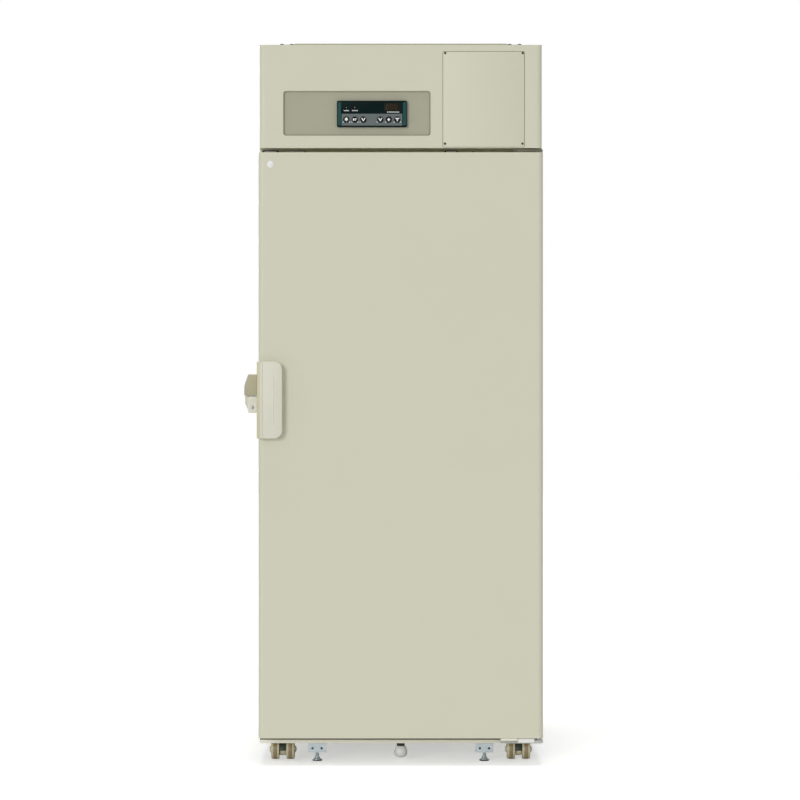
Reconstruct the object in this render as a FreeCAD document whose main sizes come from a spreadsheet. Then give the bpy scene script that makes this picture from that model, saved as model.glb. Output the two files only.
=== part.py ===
import FreeCAD, Part
import Sketcher
import os
import re

Vector = FreeCAD.Vector

# An upright laboratory freezer. While it is drawn, x is 0 in the middle of the cabinet, y is 0 at the
# door's front face and grows towards the back, and z is 0 at the floor. Every sub-part is then shifted
# by one amount, so that the origin lies under the middle of the whole freezer.

SIZES = {
    # cabinet
    "cabinet_width": 770,
    "cabinet_depth": 830,
    "collar_plane": 72,
    "wall": 65,
    "sheet": 1,
    "liner_sheet": 1,
    "bend_radius": 2.5,
    "underside": 52,
    "pan_height": 70,
    "side_flange": 30,
    "interior_floor": 135,
    "ceiling_drop": 58.5,
    "liner_corner": 12,
    "collar_depth": 4,
    "collar_bottom": 100,
    "collar_lap": 19.5,
    "deck_rise": 2.5,
    "platform_rise": 5.5,
    "platform_inset": 95,
    "platform_front": 17,
    "platform_margin": 20,
    "platform_corner": 8,
    "top_overhang": 2,
    "top_front": 15,
    "bumper_width": 37,
    "bumper_depth": 27,
    "seat_gap": 0.3,
    # rear of the cabinet
    "spacer_depth": 20,
    "spacer_width": 40,
    "spacer_height": 60,
    "spacer_inset": 85,
    "spacer_drop": 101,
    "slot_width": 240,
    "slot_height": 7,
    "slot_pitch": 24,
    "slot_count": 9,
    "slot_rise": 39,
    "slot_inset": 55,
    "slot_between": 30,
    # header
    "door_gap": 12,
    "header_height": 279,
    "header_inset": 3,
    "header_front": 4,
    "header_sheet": 1.2,
    "front_corner": 14,
    "front_edge": 3,
    "hinge_notch_depth": 20,
    # recessed plate, control housing and keys
    "recess_inset": 67,
    "recess_width": 399,
    "recess_rise": 33,
    "recess_height": 121.5,
    "recess_corner": 8,
    "recess_depth": 5,
    "bezel_rim": 1.5,
    "bezel_flange": 6,
    "housing_inset": 145.4,
    "housing_width": 189.6,
    "housing_margin": 23.5,
    "housing_height": 71,
    "housing_rise": 10,
    "housing_corner": 4,
    "key_radius": 8.5,
    "key_length": 10,
    "key_rise": 1.5,
    "key_lift": 19.7,
    "key_pitch": 23,
    "key_inset": 25.6,
    "key_group_pitch": 91.7,
    "running_gap": 0.06,
    "window_inset": 128.6,
    "window_width": 42,
    "window_lift": 43,
    "window_height": 22,
    "window_depth": 2.5,
    # recorder cover
    "cover_reach": 270.5,
    "cover_width": 219.5,
    "cover_gap": 2.5,
    "cover_drop": 19,
    "cover_sheet": 1.2,
    "cover_corner": 4,
    "cover_margin": 10,
    # door
    "door_bottom": 74.5,
    "door_height": 1584,
    "door_depth": 60,
    "door_sheet": 1,
    "dyke_gap": 20,
    "dyke_rise": 25,
    "dyke_corner": 14,
    "dyke_sheet": 1.5,
    "gasket_width": 24,
    "gasket_foot": 14,
    "gasket_overlap": 30,
    "gasket_foot_depth": 4,
    "plug_inset": 33,
    "plug_drop": 32.9,
    "plug_radius": 9.5,
    "plug_rise": 2.4,
    # hinges
    "hinge_inset": 12,
    "hinge_depth": 20,
    "pin_radius": 5,
    "pin_reach": 20,
    "hinge_front": 8,
    "hinge_tongue": 22,
    "bush_width": 16,
    "bush_length": 24,
    "upper_hinge_gap": 3.5,
    "upper_plate": 5,
    "upper_hinge_reach": 64,
    "upper_leg_lap": 2,
    "upper_leg_height": 38,
    "lower_hinge_drop": 13,
    "lower_plate": 6,
    "lower_hinge_reach": 102,
    "lower_leg_height": 36.5,
    "hinge_leg": 6,
    "hinge_cover_reach": 56,
    "hinge_cover_width": 49,
    "hinge_cover_front": 4,
    "hinge_cover_wall": 2.5,
    "hinge_cover_height": 12,
    # handle
    "handle_reach": 28,
    "handle_bottom": 885,
    "handle_height": 208,
    "handle_pin_inset": 8,
    "barrel_radius": 11.3,
    "barrel_wall": 2.8,
    "barrel_cap": 12,
    "paddle_width": 64,
    "paddle": 4,
    "paddle_corner": 22,
    "paddle_lip": 9,
    "paddle_rib_inset": 28,
    "paddle_rib": 4,
    "paddle_rib_margin": 40,
    "handle_pin_radius": 3,
    "handle_pin_margin": 3,
    "knuckle_radius": 7,
    "knuckle_length": 148,
    "handle_plate": 3,
    "handle_plate_inset": 6,
    "handle_plate_width": 36,
    "tab_reach": 35,
    "tab_height": 44,
    "tab_sheet": 3,
    "lock_radius": 5,
    "lock_reach": 23,
    "lock_rise": 15,
    # catch on the cabinet's side
    "catch_rise": 69,
    "catch_lower_height": 47,
    "catch_upper_height": 57,
    "catch_reach": 40,
    "catch_face": 22,
    "catch_sheet": 3,
    "catch_clearance": 4,
    "catch_front": -10,
    "catch_flank_depth": 34,
    "catch_slope": 28,
    "catch_depth": 28,
    "catch_rear_slope": 20,
    "catch_plate_lap": 40,
    "skirt_inset": 10,
    "hasp_depth": 25,
    "hasp_reach": 24,
    # small fittings over the door
    "fitting_gap": 2,
    "fitting_height": 7.5,
    "fitting_depth": 6,
    "clip_inset": 68,
    "clip_width": 51,
    "stop_inset": 12,
    "stop_width": 35,
    "switch_left": 124,
    "switch_width": 27,
    # casters
    "caster_inset": 62,
    "caster_front": 132,
    "caster_rear_inset": 120,
    "caster_plate": 4,
    "caster_plate_width": 88,
    "caster_drop": 35,
    "caster_trail": 20,
    "wheel_lift": 6,
    "wheel_radius": 25,
    "wheel_width": 22.5,
    "wheel_gap": 19.5,
    "axle_radius": 4,
    "axle_cap_radius": 9.5,
    "axle_cap_rise": 5,
    "hood_radius": 27.5,
    "hood_wall": 1.7,
    "web_width": 18,
    "web_depth": 24,
    "neck_width": 24,
    "neck_height": 17.2,
    # levelling feet
    "foot_inset": 156,
    "foot_depth": 107,
    "foot_bracket_width": 49,
    "foot_bracket_bottom": 24,
    "foot_bracket_front": 88,
    "foot_bracket_depth": 37,
    "foot_bracket_sheet": 3,
    "foot_stem_radius": 5,
    "foot_stem_top": 56,
    "foot_pad_radius": 13.5,
    "foot_pad_height": 6,
    # drain and access port
    "drain_depth": 105,
    "drain_radius": 10,
    "drain_bore": 7,
    "drain_bottom": 32,
    "cap_radius": 18,
    "cap_bottom": 10,
    "cap_height": 30,
    "port_place": -200,
    "port_drop": 150,
    "port_radius": 12,
    "port_bore": 8.5,
    # shelves
    "shelf_count": 5,
    "shelf_clearance": 8,
    "shelf_plate": 2,
    "shelf_front": 112,
    "shelf_rear_gap": 20,
    "tube_radius": 4,
    "tube_first": 160,
    "tube_margin": 41,
    "tube_side_gap": 75,
    "tube_bend": 38,
    "tube_sink": 0.4,
    "rail_width": 15,
    "rail_height": 20,
    "rail_sheet": 2,
    "rail_lap": 10,
    # machine compartment
    "compressor_place": 130,
    "compressor_rear_gap": 230,
    "compressor_radius": 92,
    "compressor_height": 205,
    "compressor_foot": 18,
    "compressor_plate_width": 230,
    "compressor_plate": 3,
    "compressor_dome": 30,
    "condenser_inset": 45,
    "condenser_width": 300,
    "condenser_front": 150,
    "condenser_depth": 60,
    "condenser_gap": 29,
    "fin_gap": 12,
    "fin_pitch": 30,
    "fin_cut": 24,
    "fan_radius": 84,
    "fan_opening": 90,
    "fan_hub_radius": 22,
    "fan_hub_length": 22,
    "fan_shaft_radius": 3,
    "fan_shaft_gap": 4,
    "fan_blade_count": 5,
    "blade_chord": 40,
    "blade_pitch": 16,
    "blade_sheet": 2,
    "blade_root": 3,
    "shroud_depth": 34,
    "shroud_sheet": 2,
    "motor_radius": 27,
    "motor_length": 42,
    "strut_width": 8,
    "box_inset": 145,
    "box_width": 110,
    "box_depth": 130,
    "box_rise": 39,
    "box_height": 180,
    "inlet_width": 27,
    "inlet_height": 20,
    "inlet_depth": 18,
    "inlet_rise": 40,
    "contact_width": 2,
    "contact_height": 4,
    "contact_pitch": 7,
    "rocker_width": 16,
    "rocker_height": 24,
    "rocker_depth": 12,
    "rocker_rise": 120,
    "rocker_axle": 2,
    "rocker_axle_depth": 4,
    "rocker_axle_reach": 2.5,
}

# The driving sizes above stand in the sheet. These others follow from them.
TIES = {
    "interior_back": "cabinet_depth - wall",
    "interior_top": "door_bottom + door_height - ceiling_drop",
    "compartment_floor": "door_bottom + door_height + deck_rise",
    "header_width": "cabinet_width - 2 * header_inset",
    "header_bottom": "door_bottom + door_height + door_gap",
    "header_top": "header_bottom + header_height",
    "collar_top": "header_bottom + collar_lap",
    "platform_top": "header_top + platform_rise",
    "platform_width": "cabinet_width - 2 * platform_inset",
    "spacer_place": "cabinet_width / 2 - spacer_inset",
    "spacer_level": "compartment_floor - spacer_drop",
    "slot_left": "slot_inset - cabinet_width / 2",
    "slot_level": "compartment_floor + slot_rise",
    "recess_left": "recess_inset - cabinet_width / 2",
    "recess_right": "recess_left + recess_width",
    "recess_bottom": "header_bottom + recess_rise",
    "recess_top": "recess_bottom + recess_height",
    "housing_left": "recess_left + housing_inset",
    "housing_right": "housing_left + housing_width",
    "housing_bottom": "recess_bottom + housing_margin",
    "housing_top": "housing_bottom + housing_height",
    "key_level": "housing_bottom + key_lift",
    "key_group_left": "housing_left + key_inset",
    "key_group_right": "key_group_left + key_group_pitch",
    "window_left": "housing_left + window_inset",
    "window_right": "window_left + window_width",
    "window_bottom": "housing_bottom + window_lift",
    "window_top": "window_bottom + window_height",
    "cover_left": "cabinet_width / 2 - cover_reach",
    "cover_right": "cover_left + cover_width",
    "cover_bottom": "header_bottom + cover_gap",
    "cover_top": "header_top - cover_drop",
    "dyke_width": "cabinet_width - 2 * (wall + dyke_gap)",
    "dyke_bottom": "interior_floor + dyke_gap",
    "dyke_top": "interior_top - dyke_gap",
    "plug_place": "plug_inset - cabinet_width / 2",
    "plug_level": "door_bottom + door_height - plug_drop",
    "hinge_place": "cabinet_width / 2 - hinge_inset",
    "upper_plate_level": "door_bottom + door_height + upper_hinge_gap",
    "upper_hinge_left": "hinge_place - upper_hinge_reach",
    "upper_leg_right": "hinge_place + upper_leg_lap",
    "upper_leg_top": "upper_plate_level + upper_leg_height",
    "lower_plate_level": "door_bottom - lower_hinge_drop",
    "lower_hinge_left": "hinge_place - lower_hinge_reach",
    "lower_leg_top": "lower_plate_level + lower_leg_height",
    "hinge_cover_left": "hinge_place - hinge_cover_reach",
    "hinge_cover_right": "hinge_cover_left + hinge_cover_width",
    "hinge_cover_top": "lower_plate_level + hinge_cover_height",
    "handle_top": "handle_bottom + handle_height",
    "handle_pin_place": "handle_pin_inset - cabinet_width / 2",
    "handle_right": "handle_pin_place + paddle_width",
    "handle_plate_left": "handle_pin_place + handle_plate_inset",
    "handle_plate_right": "handle_plate_left + handle_plate_width",
    "paddle_rib_place": "handle_pin_place + paddle_rib_inset",
    "tab_bottom": "catch_bottom",
    "tab_top": "tab_bottom + tab_height",
    "lock_place": "handle_pin_place - lock_reach",
    "lock_level": "catch_bottom + lock_rise",
    "catch_bottom": "handle_bottom + catch_rise",
    "catch_split": "catch_bottom + catch_lower_height",
    "catch_top": "catch_split + catch_upper_height",
    "catch_back": "collar_plane + catch_depth",
    "catch_plate_back": "catch_back + catch_plate_lap",
    "fitting_level": "door_bottom + door_height + fitting_gap",
    "fitting_top": "fitting_level + fitting_height",
    "clip_left": "clip_inset - cabinet_width / 2",
    "clip_right": "clip_left + clip_width",
    "stop_left": "stop_inset - cabinet_width / 2",
    "stop_right": "stop_left + stop_width",
    "switch_right": "switch_left + switch_width",
    "caster_place": "cabinet_width / 2 - caster_inset",
    "caster_back": "cabinet_depth - caster_rear_inset",
    "caster_plate_level": "pan_height - caster_plate",
    "foot_place": "cabinet_width / 2 - foot_inset",
    "foot_bracket_back": "foot_bracket_front + foot_bracket_depth",
    "cap_top": "cap_bottom + cap_height",
    "port_level": "interior_top - port_drop",
    "shelf_spacing": "(interior_top - interior_floor - liner_sheet) / (shelf_count + 1)",
    "shelf_back": "interior_back - shelf_rear_gap",
    "tube_pitch": "(shelf_back - tube_first - tube_margin) / 4",
    "tube_run": "cabinet_width / 2 - wall - tube_side_gap",
    "compressor_depth": "cabinet_depth - compressor_rear_gap",
    "condenser_left": "condenser_inset - cabinet_width / 2",
    "condenser_height": "header_height - condenser_gap",
    "box_left": "cabinet_width / 2 - box_inset",
    "box_bottom": "compartment_floor + box_rise",
    "inlet_level": "box_bottom + inlet_rise",
    "rocker_level": "box_bottom + rocker_rise",
}

HALF = "cabinet_width / 2"
INSIDE = "(cabinet_width / 2 - wall)"
DOOR_TOP = "(door_bottom + door_height)"
DOOR_HALF = HALF
PIN_DEPTH = "(barrel_radius - handle_reach)"
CATCH_INNER = "(-cabinet_width / 2 - catch_clearance)"
SHELF_LEVEL = "(interior_floor + shelf_spacing)"
FAN_PLACE = "(condenser_left + condenser_width / 2)"
FAN_LEVEL = "(compartment_floor + condenser_height / 2)"
FAN_BACK = "(condenser_front + condenser_depth + shroud_depth)"
TUBE_RUNS = 5
FINE_SIDES = 24
COARSE_SIDES = 16
FLAT = 0.01
ORIGIN = ("catch_reach / 2", "-(cabinet_depth + spacer_depth - handle_reach) / 2", "0")

document = FreeCAD.newDocument("laboratory_freezer")
sheet = document.addObject("Spreadsheet::Sheet", "Sizes")
places = {}
subparts = []


def fill_sheet():
    """Writes each driving size in its own cell and gives the cell the size's name."""
    for row, (name, number) in enumerate(SIZES.items(), 1):
        sheet.set(f"A{row}", name)
        sheet.set(f"B{row}", str(number))
        sheet.setAlias(f"B{row}", name)
    document.recompute()


def bound(text):
    """The expression with ties worked out and each driving size written as a cell of the sheet."""

    def cell(word):
        """One word of the expression."""
        name = word[0]
        if name in TIES:
            return f"({bound(TIES[name])})"
        return f"Sizes.{name}" if name in SIZES else name

    return re.sub(r"[a-z_]+", cell, str(text))


def value(text):
    """The number that an expression gives now."""
    return float(sheet.evalExpression(bound(text)))


def bind(thing, **expressions):
    """Binds properties of one object to expressions of the sizes."""
    for name, text in expressions.items():
        thing.setExpression(name, bound(text))
    return thing


def put(piece, x="0", y="0", z="0"):
    """Places a piece by expressions."""
    places[piece.Name] = (x, y, z)
    for axis, place in zip("xyz", (x, y, z)):
        piece.setExpression(f"Placement.Base.{axis}", bound(place))
    return piece


def subpart(label, piece):
    """Names a finished sub-part and shifts it into the freezer's own frame."""
    own = places.get(piece.Name, ("0", "0", "0"))
    put(piece, *(f"({place}) + ({shift})" for place, shift in zip(own, ORIGIN)))
    piece.Label = label
    subparts.append(piece)


def box(x, y, z):
    """A block between two corners, given as pairs of expressions."""
    block = document.addObject("Part::Box", "block")
    names = ("Length", "Width", "Height")
    sides = {name: f"({high}) - ({low})" for name, (low, high) in zip(names, (x, y, z))}
    return put(bind(block, **sides), x[0], y[0], z[0])


def cylinder(axis, centre, radius, span, sides=0):
    """A cylinder along an axis, between the ends of its span, or a prism with as many sides as given."""
    rod = document.addObject("Part::Prism" if sides else "Part::Cylinder", "rod")
    bind(rod, Height=f"({span[1]}) - ({span[0]})")
    if sides:
        rod.Polygon = sides
        bind(rod, Circumradius=radius)
    else:
        bind(rod, Radius=radius)
    turns = {"X": (Vector(0, 1, 0), 90), "Y": (Vector(1, 0, 0), -90), "Z": (Vector(0, 0, 1), 0)}
    rod.Placement.Rotation = FreeCAD.Rotation(*turns[axis])
    corner = list(centre)
    corner.insert("XYZ".index(axis), span[0])
    return put(rod, *corner)


def join(*pieces):
    """One solid from pieces that run into each other."""
    fused = document.addObject("Part::MultiFuse", "joined")
    fused.Shapes = list(pieces)
    return fused


def gather(*pieces):
    """A group of separate solids."""
    group = document.addObject("Part::Compound", "group")
    group.Links = list(pieces)
    return group


def cut(piece, *tools):
    """A piece without the space that the tools take."""
    left = document.addObject("Part::Cut", "cut")
    left.Base = piece
    left.Tool = tools[0] if len(tools) == 1 else join(*tools)
    return left


def lies(edge, **where):
    """Whether an edge lies flat in every plane given, such as x="sheet"."""
    bounds = edge.BoundBox
    for axis, place in where.items():
        low, high = {"x": (bounds.XMin, bounds.XMax), "y": (bounds.YMin, bounds.YMax),
                     "z": (bounds.ZMin, bounds.ZMax)}[axis]
        if max(abs(low - value(place)), abs(high - value(place))) > FLAT:
            return False
    return True


def rounded(piece, radius, *wheres):
    """A piece whose edges in the planes given are rounded."""
    document.recompute()
    smooth = document.addObject("Part::Fillet", "rounded")
    smooth.Base = piece
    size = value(radius)
    smooth.Edges = [
        (number, size, size)
        for number, edge in enumerate(piece.Shape.Edges, 1)
        if any(lies(edge, **where) for where in wheres)
    ]
    return smooth


def round_block(x, y, z, radius, along):
    """A block whose four edges along one axis are rounded."""
    sides = {"x": x, "y": y, "z": z}
    one, other = [name for name in "xyz" if name != along]
    corners = [{one: a, other: b} for a in sides[one] for b in sides[other]]
    return rounded(box(x, y, z), radius, *corners)


def new_body(name):
    """An empty body, which may hold separate solids."""
    body = document.addObject("PartDesign::Body", name)
    body.AllowCompound = True
    return body


def sketch_on(body, plane, offset="0"):
    """An empty sketch on one of the body's own planes, moved along the plane's normal."""
    sketch = body.newObject("Sketcher::SketchObject", "outline")
    own_plane = [feature for feature in body.Origin.OriginFeatures if feature.Role == plane][0]
    sketch.AttachmentSupport = [(own_plane, "")]
    sketch.MapMode = "FlatFace"
    sketch.setExpression("AttachmentOffset.Base.z", bound(offset))
    return sketch


def fix_point(sketch, element, end, point):
    """Holds one point of a sketch at two expressions."""
    for kind, text in zip(("DistanceX", "DistanceY"), point):
        number = sketch.addConstraint(Sketcher.Constraint(kind, -1, 1, element, end, value(text)))
        sketch.setExpression(f"Constraints[{number}]", bound(text))


def polygon(body, plane, points, offset="0"):
    """A sketch of straight lines through points given as expressions."""
    sketch = sketch_on(body, plane, offset)
    spots = [Vector(value(across), value(up), 0) for across, up in points]
    count = len(points)
    for number in range(count):
        sketch.addGeometry(Part.LineSegment(spots[number], spots[(number + 1) % count]), False)
    for number in range(count):
        sketch.addConstraint(Sketcher.Constraint("Coincident", number, 2, (number + 1) % count, 1))
        fix_point(sketch, number, 1, points[number])
    return sketch


def rectangle(body, plane, across, up, offset="0"):
    """A sketch of one rectangle between two pairs of expressions."""
    corners = [(across[0], up[0]), (across[1], up[0]), (across[1], up[1]), (across[0], up[1])]
    return polygon(body, plane, corners, offset)


def circle(body, plane, centre, radius, offset="0"):
    """A sketch of one circle."""
    sketch = sketch_on(body, plane, offset)
    spot = Vector(value(centre[0]), value(centre[1]), 0)
    ring = sketch.addGeometry(Part.Circle(spot, Vector(0, 0, 1), value(radius)), False)
    fix_point(sketch, ring, 3, centre)
    number = sketch.addConstraint(Sketcher.Constraint("Radius", ring, value(radius)))
    sketch.setExpression(f"Constraints[{number}]", bound(radius))
    return sketch


def feature(body, kind, sketch, backwards=False, **expressions):
    """A pad, pocket or other feature made from a sketch."""
    made = body.newObject(f"PartDesign::{kind}", kind.lower())
    made.Profile = sketch
    bind(made, **expressions)
    made.Reversed = backwards
    return made


def body_fillet(body, radius, *wheres):
    """Rounds edges of a body's newest feature."""
    document.recompute()
    base = body.Tip
    names = [
        f"Edge{number}"
        for number, edge in enumerate(base.Shape.Edges, 1)
        if any(lies(edge, **where) for where in wheres)
    ]
    made = body.newObject("PartDesign::Fillet", "rounded")
    made.Base = (base, names)
    bind(made, Radius=radius)
    return made


def repeated(body, features, axis, length, count):
    """Repeats features of a body along one of its axes."""
    pattern = body.newObject("PartDesign::LinearPattern", "repeated")
    pattern.Originals = features
    own_axis = [feature for feature in body.Origin.OriginFeatures if feature.Role == axis][0]
    pattern.Direction = (own_axis, [""])
    bind(pattern, Length=length, Occurrences=count)
    body.Tip = pattern
    return pattern


def pan(name, half_width, front, back, bottom, top, thickness):
    """A folded sheet pan, open to the back, with rounded upright corners."""
    body = new_body(name)
    face = rectangle(body, "XZ_Plane", (f"-({half_width})", half_width), (bottom, top), f"-({front})")
    feature(body, "Pad", face, True, Length=f"({back}) - ({front})")
    body_fillet(body, "front_corner", {"x": f"-({half_width})", "y": front}, {"x": half_width, "y": front})
    document.recompute()
    bent = body.Tip
    back_faces = [
        f"Face{number}"
        for number, face in enumerate(bent.Shape.Faces, 1)
        if lies(face, y=back)
    ]
    shell = body.newObject("PartDesign::Thickness", "folded")
    shell.Base = (bent, back_faces)
    bind(shell, Value=thickness)
    shell.Reversed = True
    shell.Join = 0
    return body


def make_side_panels():
    """Side sheets with a front flange bent inwards."""
    for side, sign in (("left", "-"), ("right", "")):
        body = new_body(f"side_{side}")
        outer = f"{sign}({HALF})"
        inner = f"{sign}({HALF} - sheet)"
        flange = f"{sign}({HALF} - side_flange)"
        plan = [
            (outer, "collar_plane"), (outer, "cabinet_depth"), (inner, "cabinet_depth"),
            (inner, "collar_plane + sheet"), (flange, "collar_plane + sheet"), (flange, "collar_plane"),
        ]
        profile = polygon(body, "XY_Plane", plan, "underside")
        feature(body, "Pad", profile, Length="header_top - underside")
        body_fillet(body, "bend_radius", {"x": outer, "y": "collar_plane"})
        body_fillet(body, "bend_radius - sheet", {"x": inner, "y": "collar_plane + sheet"})
        subpart(f"side_panel_{side}", body)


def make_back_panel():
    """Back sheet of the insulated cabinet and the deck that the machines stand on."""
    half = f"({HALF} - sheet)"
    inside = "cabinet_depth - sheet"
    back = box((f"-{half}", half), (inside, "cabinet_depth"), ("pan_height + sheet", "compartment_floor"))
    port = cylinder("Y", ("port_place", "port_level"), "port_radius", (f"{inside} - 1", "cabinet_depth + 1"))
    subpart("back_panel", cut(back, port))
    deck = box((f"-{half}", half), ("collar_plane + collar_depth", inside),
               ("compartment_floor - sheet", "compartment_floor"))
    subpart("machine_deck", deck)


def drain_rod(radius, span):
    """An upright prism on the drain's axis."""
    return cylinder("Z", ("0", "drain_depth"), radius, span, FINE_SIDES)


def make_base_pan():
    """Floor sheet of the cabinet with lips turned down at the front and back."""
    inner = f"({HALF} - sheet)"
    lip = f"({HALF} - side_flange)"
    floor = box((f"-{inner}", inner), ("collar_plane + sheet", "cabinet_depth"),
                ("pan_height", "pan_height + sheet"))
    front = box((f"-{lip}", lip), ("collar_plane", "collar_plane + sheet"), ("underside", "collar_bottom"))
    rear = box((f"-{inner}", inner), ("cabinet_depth - sheet", "cabinet_depth"), ("underside", "pan_height"))
    hole = drain_rod("drain_radius", ("pan_height - 1", "pan_height + sheet + 1"))
    subpart("base_pan", cut(join(floor, front, rear), hole))


def make_insulation():
    """Foam between the sheets, the liner inside it and the collar that closes both at the front."""
    outer = f"({HALF} - sheet)"
    inner = f"({INSIDE} + liner_sheet)"
    start = "collar_plane + collar_depth"
    bottom = "interior_floor - liner_sheet"
    top = "interior_top + liner_sheet"
    back = "interior_back + liner_sheet"
    block = box((f"-{outer}", outer), (start, "cabinet_depth - sheet"),
                ("pan_height + sheet", "compartment_floor - sheet"))
    cavity = box((f"-{inner}", inner), (f"{start} - 1", back), (bottom, top))
    drain = drain_rod("drain_radius", ("pan_height", "interior_floor"))
    port = cylinder("Y", ("port_place", "port_level"), "port_radius", ("interior_back", "cabinet_depth"))
    subpart("cabinet_foam", cut(block, cavity, drain, port))

    wide = (f"-{inner}", inner)
    deep = (start, back)
    high = ("interior_floor", "interior_top")
    floor = cut(box(wide, deep, (bottom, "interior_floor")),
                drain_rod("drain_radius", (f"{bottom} - 1", "interior_floor + 1")))
    rear = cut(box((f"-{INSIDE}", INSIDE), ("interior_back", back), high),
               cylinder("Y", ("port_place", "port_level"), "port_radius", ("interior_back - 1", f"{back} + 1")))
    left = box((f"-{inner}", f"-{INSIDE}"), deep, high)
    right = box((INSIDE, inner), deep, high)
    ceiling = box(wide, deep, ("interior_top", top))
    subpart("inner_liner", gather(floor, ceiling, left, right, rear))

    edge = f"({HALF} - side_flange)"
    plate = box((f"-{edge}", edge), ("collar_plane", start), ("collar_bottom", "collar_top"))
    opening = round_block((f"-{INSIDE}", INSIDE), ("collar_plane - 1", f"{start} + 1"),
                          ("interior_floor", "interior_top"), "liner_corner", "y")
    subpart("breaker_frame", cut(plate, opening))


def make_top():
    """Top sheet with a raised platform, and a rubber bumper beside each of its front corners."""
    body = new_body("top")
    half = f"({HALF} - top_overhang)"
    raised = "(platform_width / 2)"
    plan = rectangle(body, "XY_Plane", (f"-{half}", half), ("top_front", "cabinet_depth"), "header_top")
    feature(body, "Pad", plan, Length="sheet")
    sides = (f"-{raised}", raised)
    ends = ("platform_front", "cabinet_depth - platform_margin")
    top = rectangle(body, "XY_Plane", sides, ends, "header_top")
    feature(body, "Pad", top, Length="platform_top - header_top")
    body_fillet(body, "platform_corner", *({"x": x, "y": y} for x in sides for y in ends))
    inset = "(sheet + platform_corner / 2)"
    room = (f"{inset} - {raised}", f"{raised} - {inset}")
    deep = (f"platform_front + {inset}", f"cabinet_depth - platform_margin - {inset}")
    under = rectangle(body, "XY_Plane", room, deep, "header_top")
    feature(body, "Pocket", under, True, Length="platform_top - header_top - sheet")
    subpart("top_panel", body)

    bumpers = []
    near = f"({raised} + seat_gap)"
    far = f"({raised} + bumper_width)"
    front = "platform_front + sheet"
    for low, high in ((near, far), (f"-{far}", f"-{near}")):
        bumpers.append(box((low, high), (front, f"{front} + bumper_depth"),
                           ("header_top + sheet", "platform_top - sheet")))
    subpart("top_bumpers", gather(*bumpers))


def make_rear():
    """Slotted rear sheet of the machine compartment and the spacers that keep the back off a room's wall."""
    body = new_body("grille")
    half = f"({HALF} - sheet)"
    high = ("compartment_floor", "header_top")
    face = rectangle(body, "XZ_Plane", (f"-{half}", half), high, "-cabinet_depth")
    feature(body, "Pad", face, Length="sheet")
    second = "slot_left + slot_width + slot_between"
    slots = []
    for left in ("slot_left", second):
        slot = rectangle(body, "XZ_Plane", (left, f"{left} + slot_width"),
                         ("slot_level", "slot_level + slot_height"), "-cabinet_depth - 1")
        slots.append(feature(body, "Pocket", slot, True, Length="sheet + 2"))
    window = rectangle(body, "XZ_Plane", ("box_left - seat_gap", "box_left + box_width + seat_gap"),
                       ("box_bottom - seat_gap", "box_bottom + box_height + seat_gap"), "-cabinet_depth - 1")
    feature(body, "Pocket", window, True, Length="sheet + 2")
    document.recompute()
    repeated(body, slots, "Z_Axis", "slot_pitch * (slot_count - 1)", "slot_count")
    subpart("rear_grille", body)

    spacers = []
    for sign in ("-", ""):
        middle = f"{sign}spacer_place"
        spacers.append(box((f"{middle} - spacer_width / 2", f"{middle} + spacer_width / 2"),
                           ("cabinet_depth", "cabinet_depth + spacer_depth"),
                           ("spacer_level", "spacer_level + spacer_height")))
    subpart("rear_spacers", gather(*spacers))


def make_header():
    """Folded front cover of the machine compartment with its recessed plate and its blank cover."""
    shell = pan("header", "header_width / 2", "header_front", "collar_plane", "header_bottom", "header_top",
                "header_sheet")
    through = ("header_front - 1", "header_front + header_sheet + 1")
    recess = round_block(("recess_left", "recess_right"), through, ("recess_bottom", "recess_top"),
                         "recess_corner", "y")
    opening = box(("cover_left + cover_margin", "cover_right - cover_margin"), through,
                  ("cover_bottom + cover_margin", "cover_top - cover_margin"))
    notch = box(("upper_hinge_left - sheet", "upper_leg_right + sheet"),
                ("collar_plane - hinge_notch_depth", "collar_plane + 1"),
                ("header_bottom - 1", "header_bottom + header_sheet + 1"))
    subpart("header_panel", cut(shell, recess, opening, notch))

    inset = "seat_gap / 2"
    floor_front = "header_front + recess_depth"
    tray = round_block((f"recess_left + {inset}", f"recess_right - {inset}"),
                       ("header_front + seat_gap", f"{floor_front} + bezel_rim"),
                       (f"recess_bottom + {inset}", f"recess_top - {inset}"), "recess_corner", "y")
    flange = box(("recess_left - bezel_flange", "recess_right + bezel_flange"),
                 ("header_front + header_sheet", "header_front + header_sheet + bezel_rim"),
                 ("recess_bottom - bezel_flange", "recess_top + bezel_flange"))
    hollow = round_block(("recess_left + bezel_rim", "recess_right - bezel_rim"),
                         ("header_front - 1", floor_front),
                         ("recess_bottom + bezel_rim", "recess_top - bezel_rim"),
                         "recess_corner - bezel_rim", "y")
    subpart("control_bezel", cut(join(tray, flange), hollow))

    body = new_body("cover")
    across = ("cover_left", "cover_right")
    up = ("cover_bottom", "cover_top")
    face = rectangle(body, "XZ_Plane", across, up, "-header_front")
    feature(body, "Pad", face, Length="cover_sheet")
    corners = [{"x": x, "z": z} for x in across for z in up]
    body_fillet(body, "cover_corner", *corners)
    subpart("recorder_cover", body)


def key_places():
    """Where the six keys stand, three in each group."""
    return [
        f"({group} + {number} * key_pitch)"
        for group in ("key_group_left", "key_group_right")
        for number in range(3)
    ]


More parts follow.
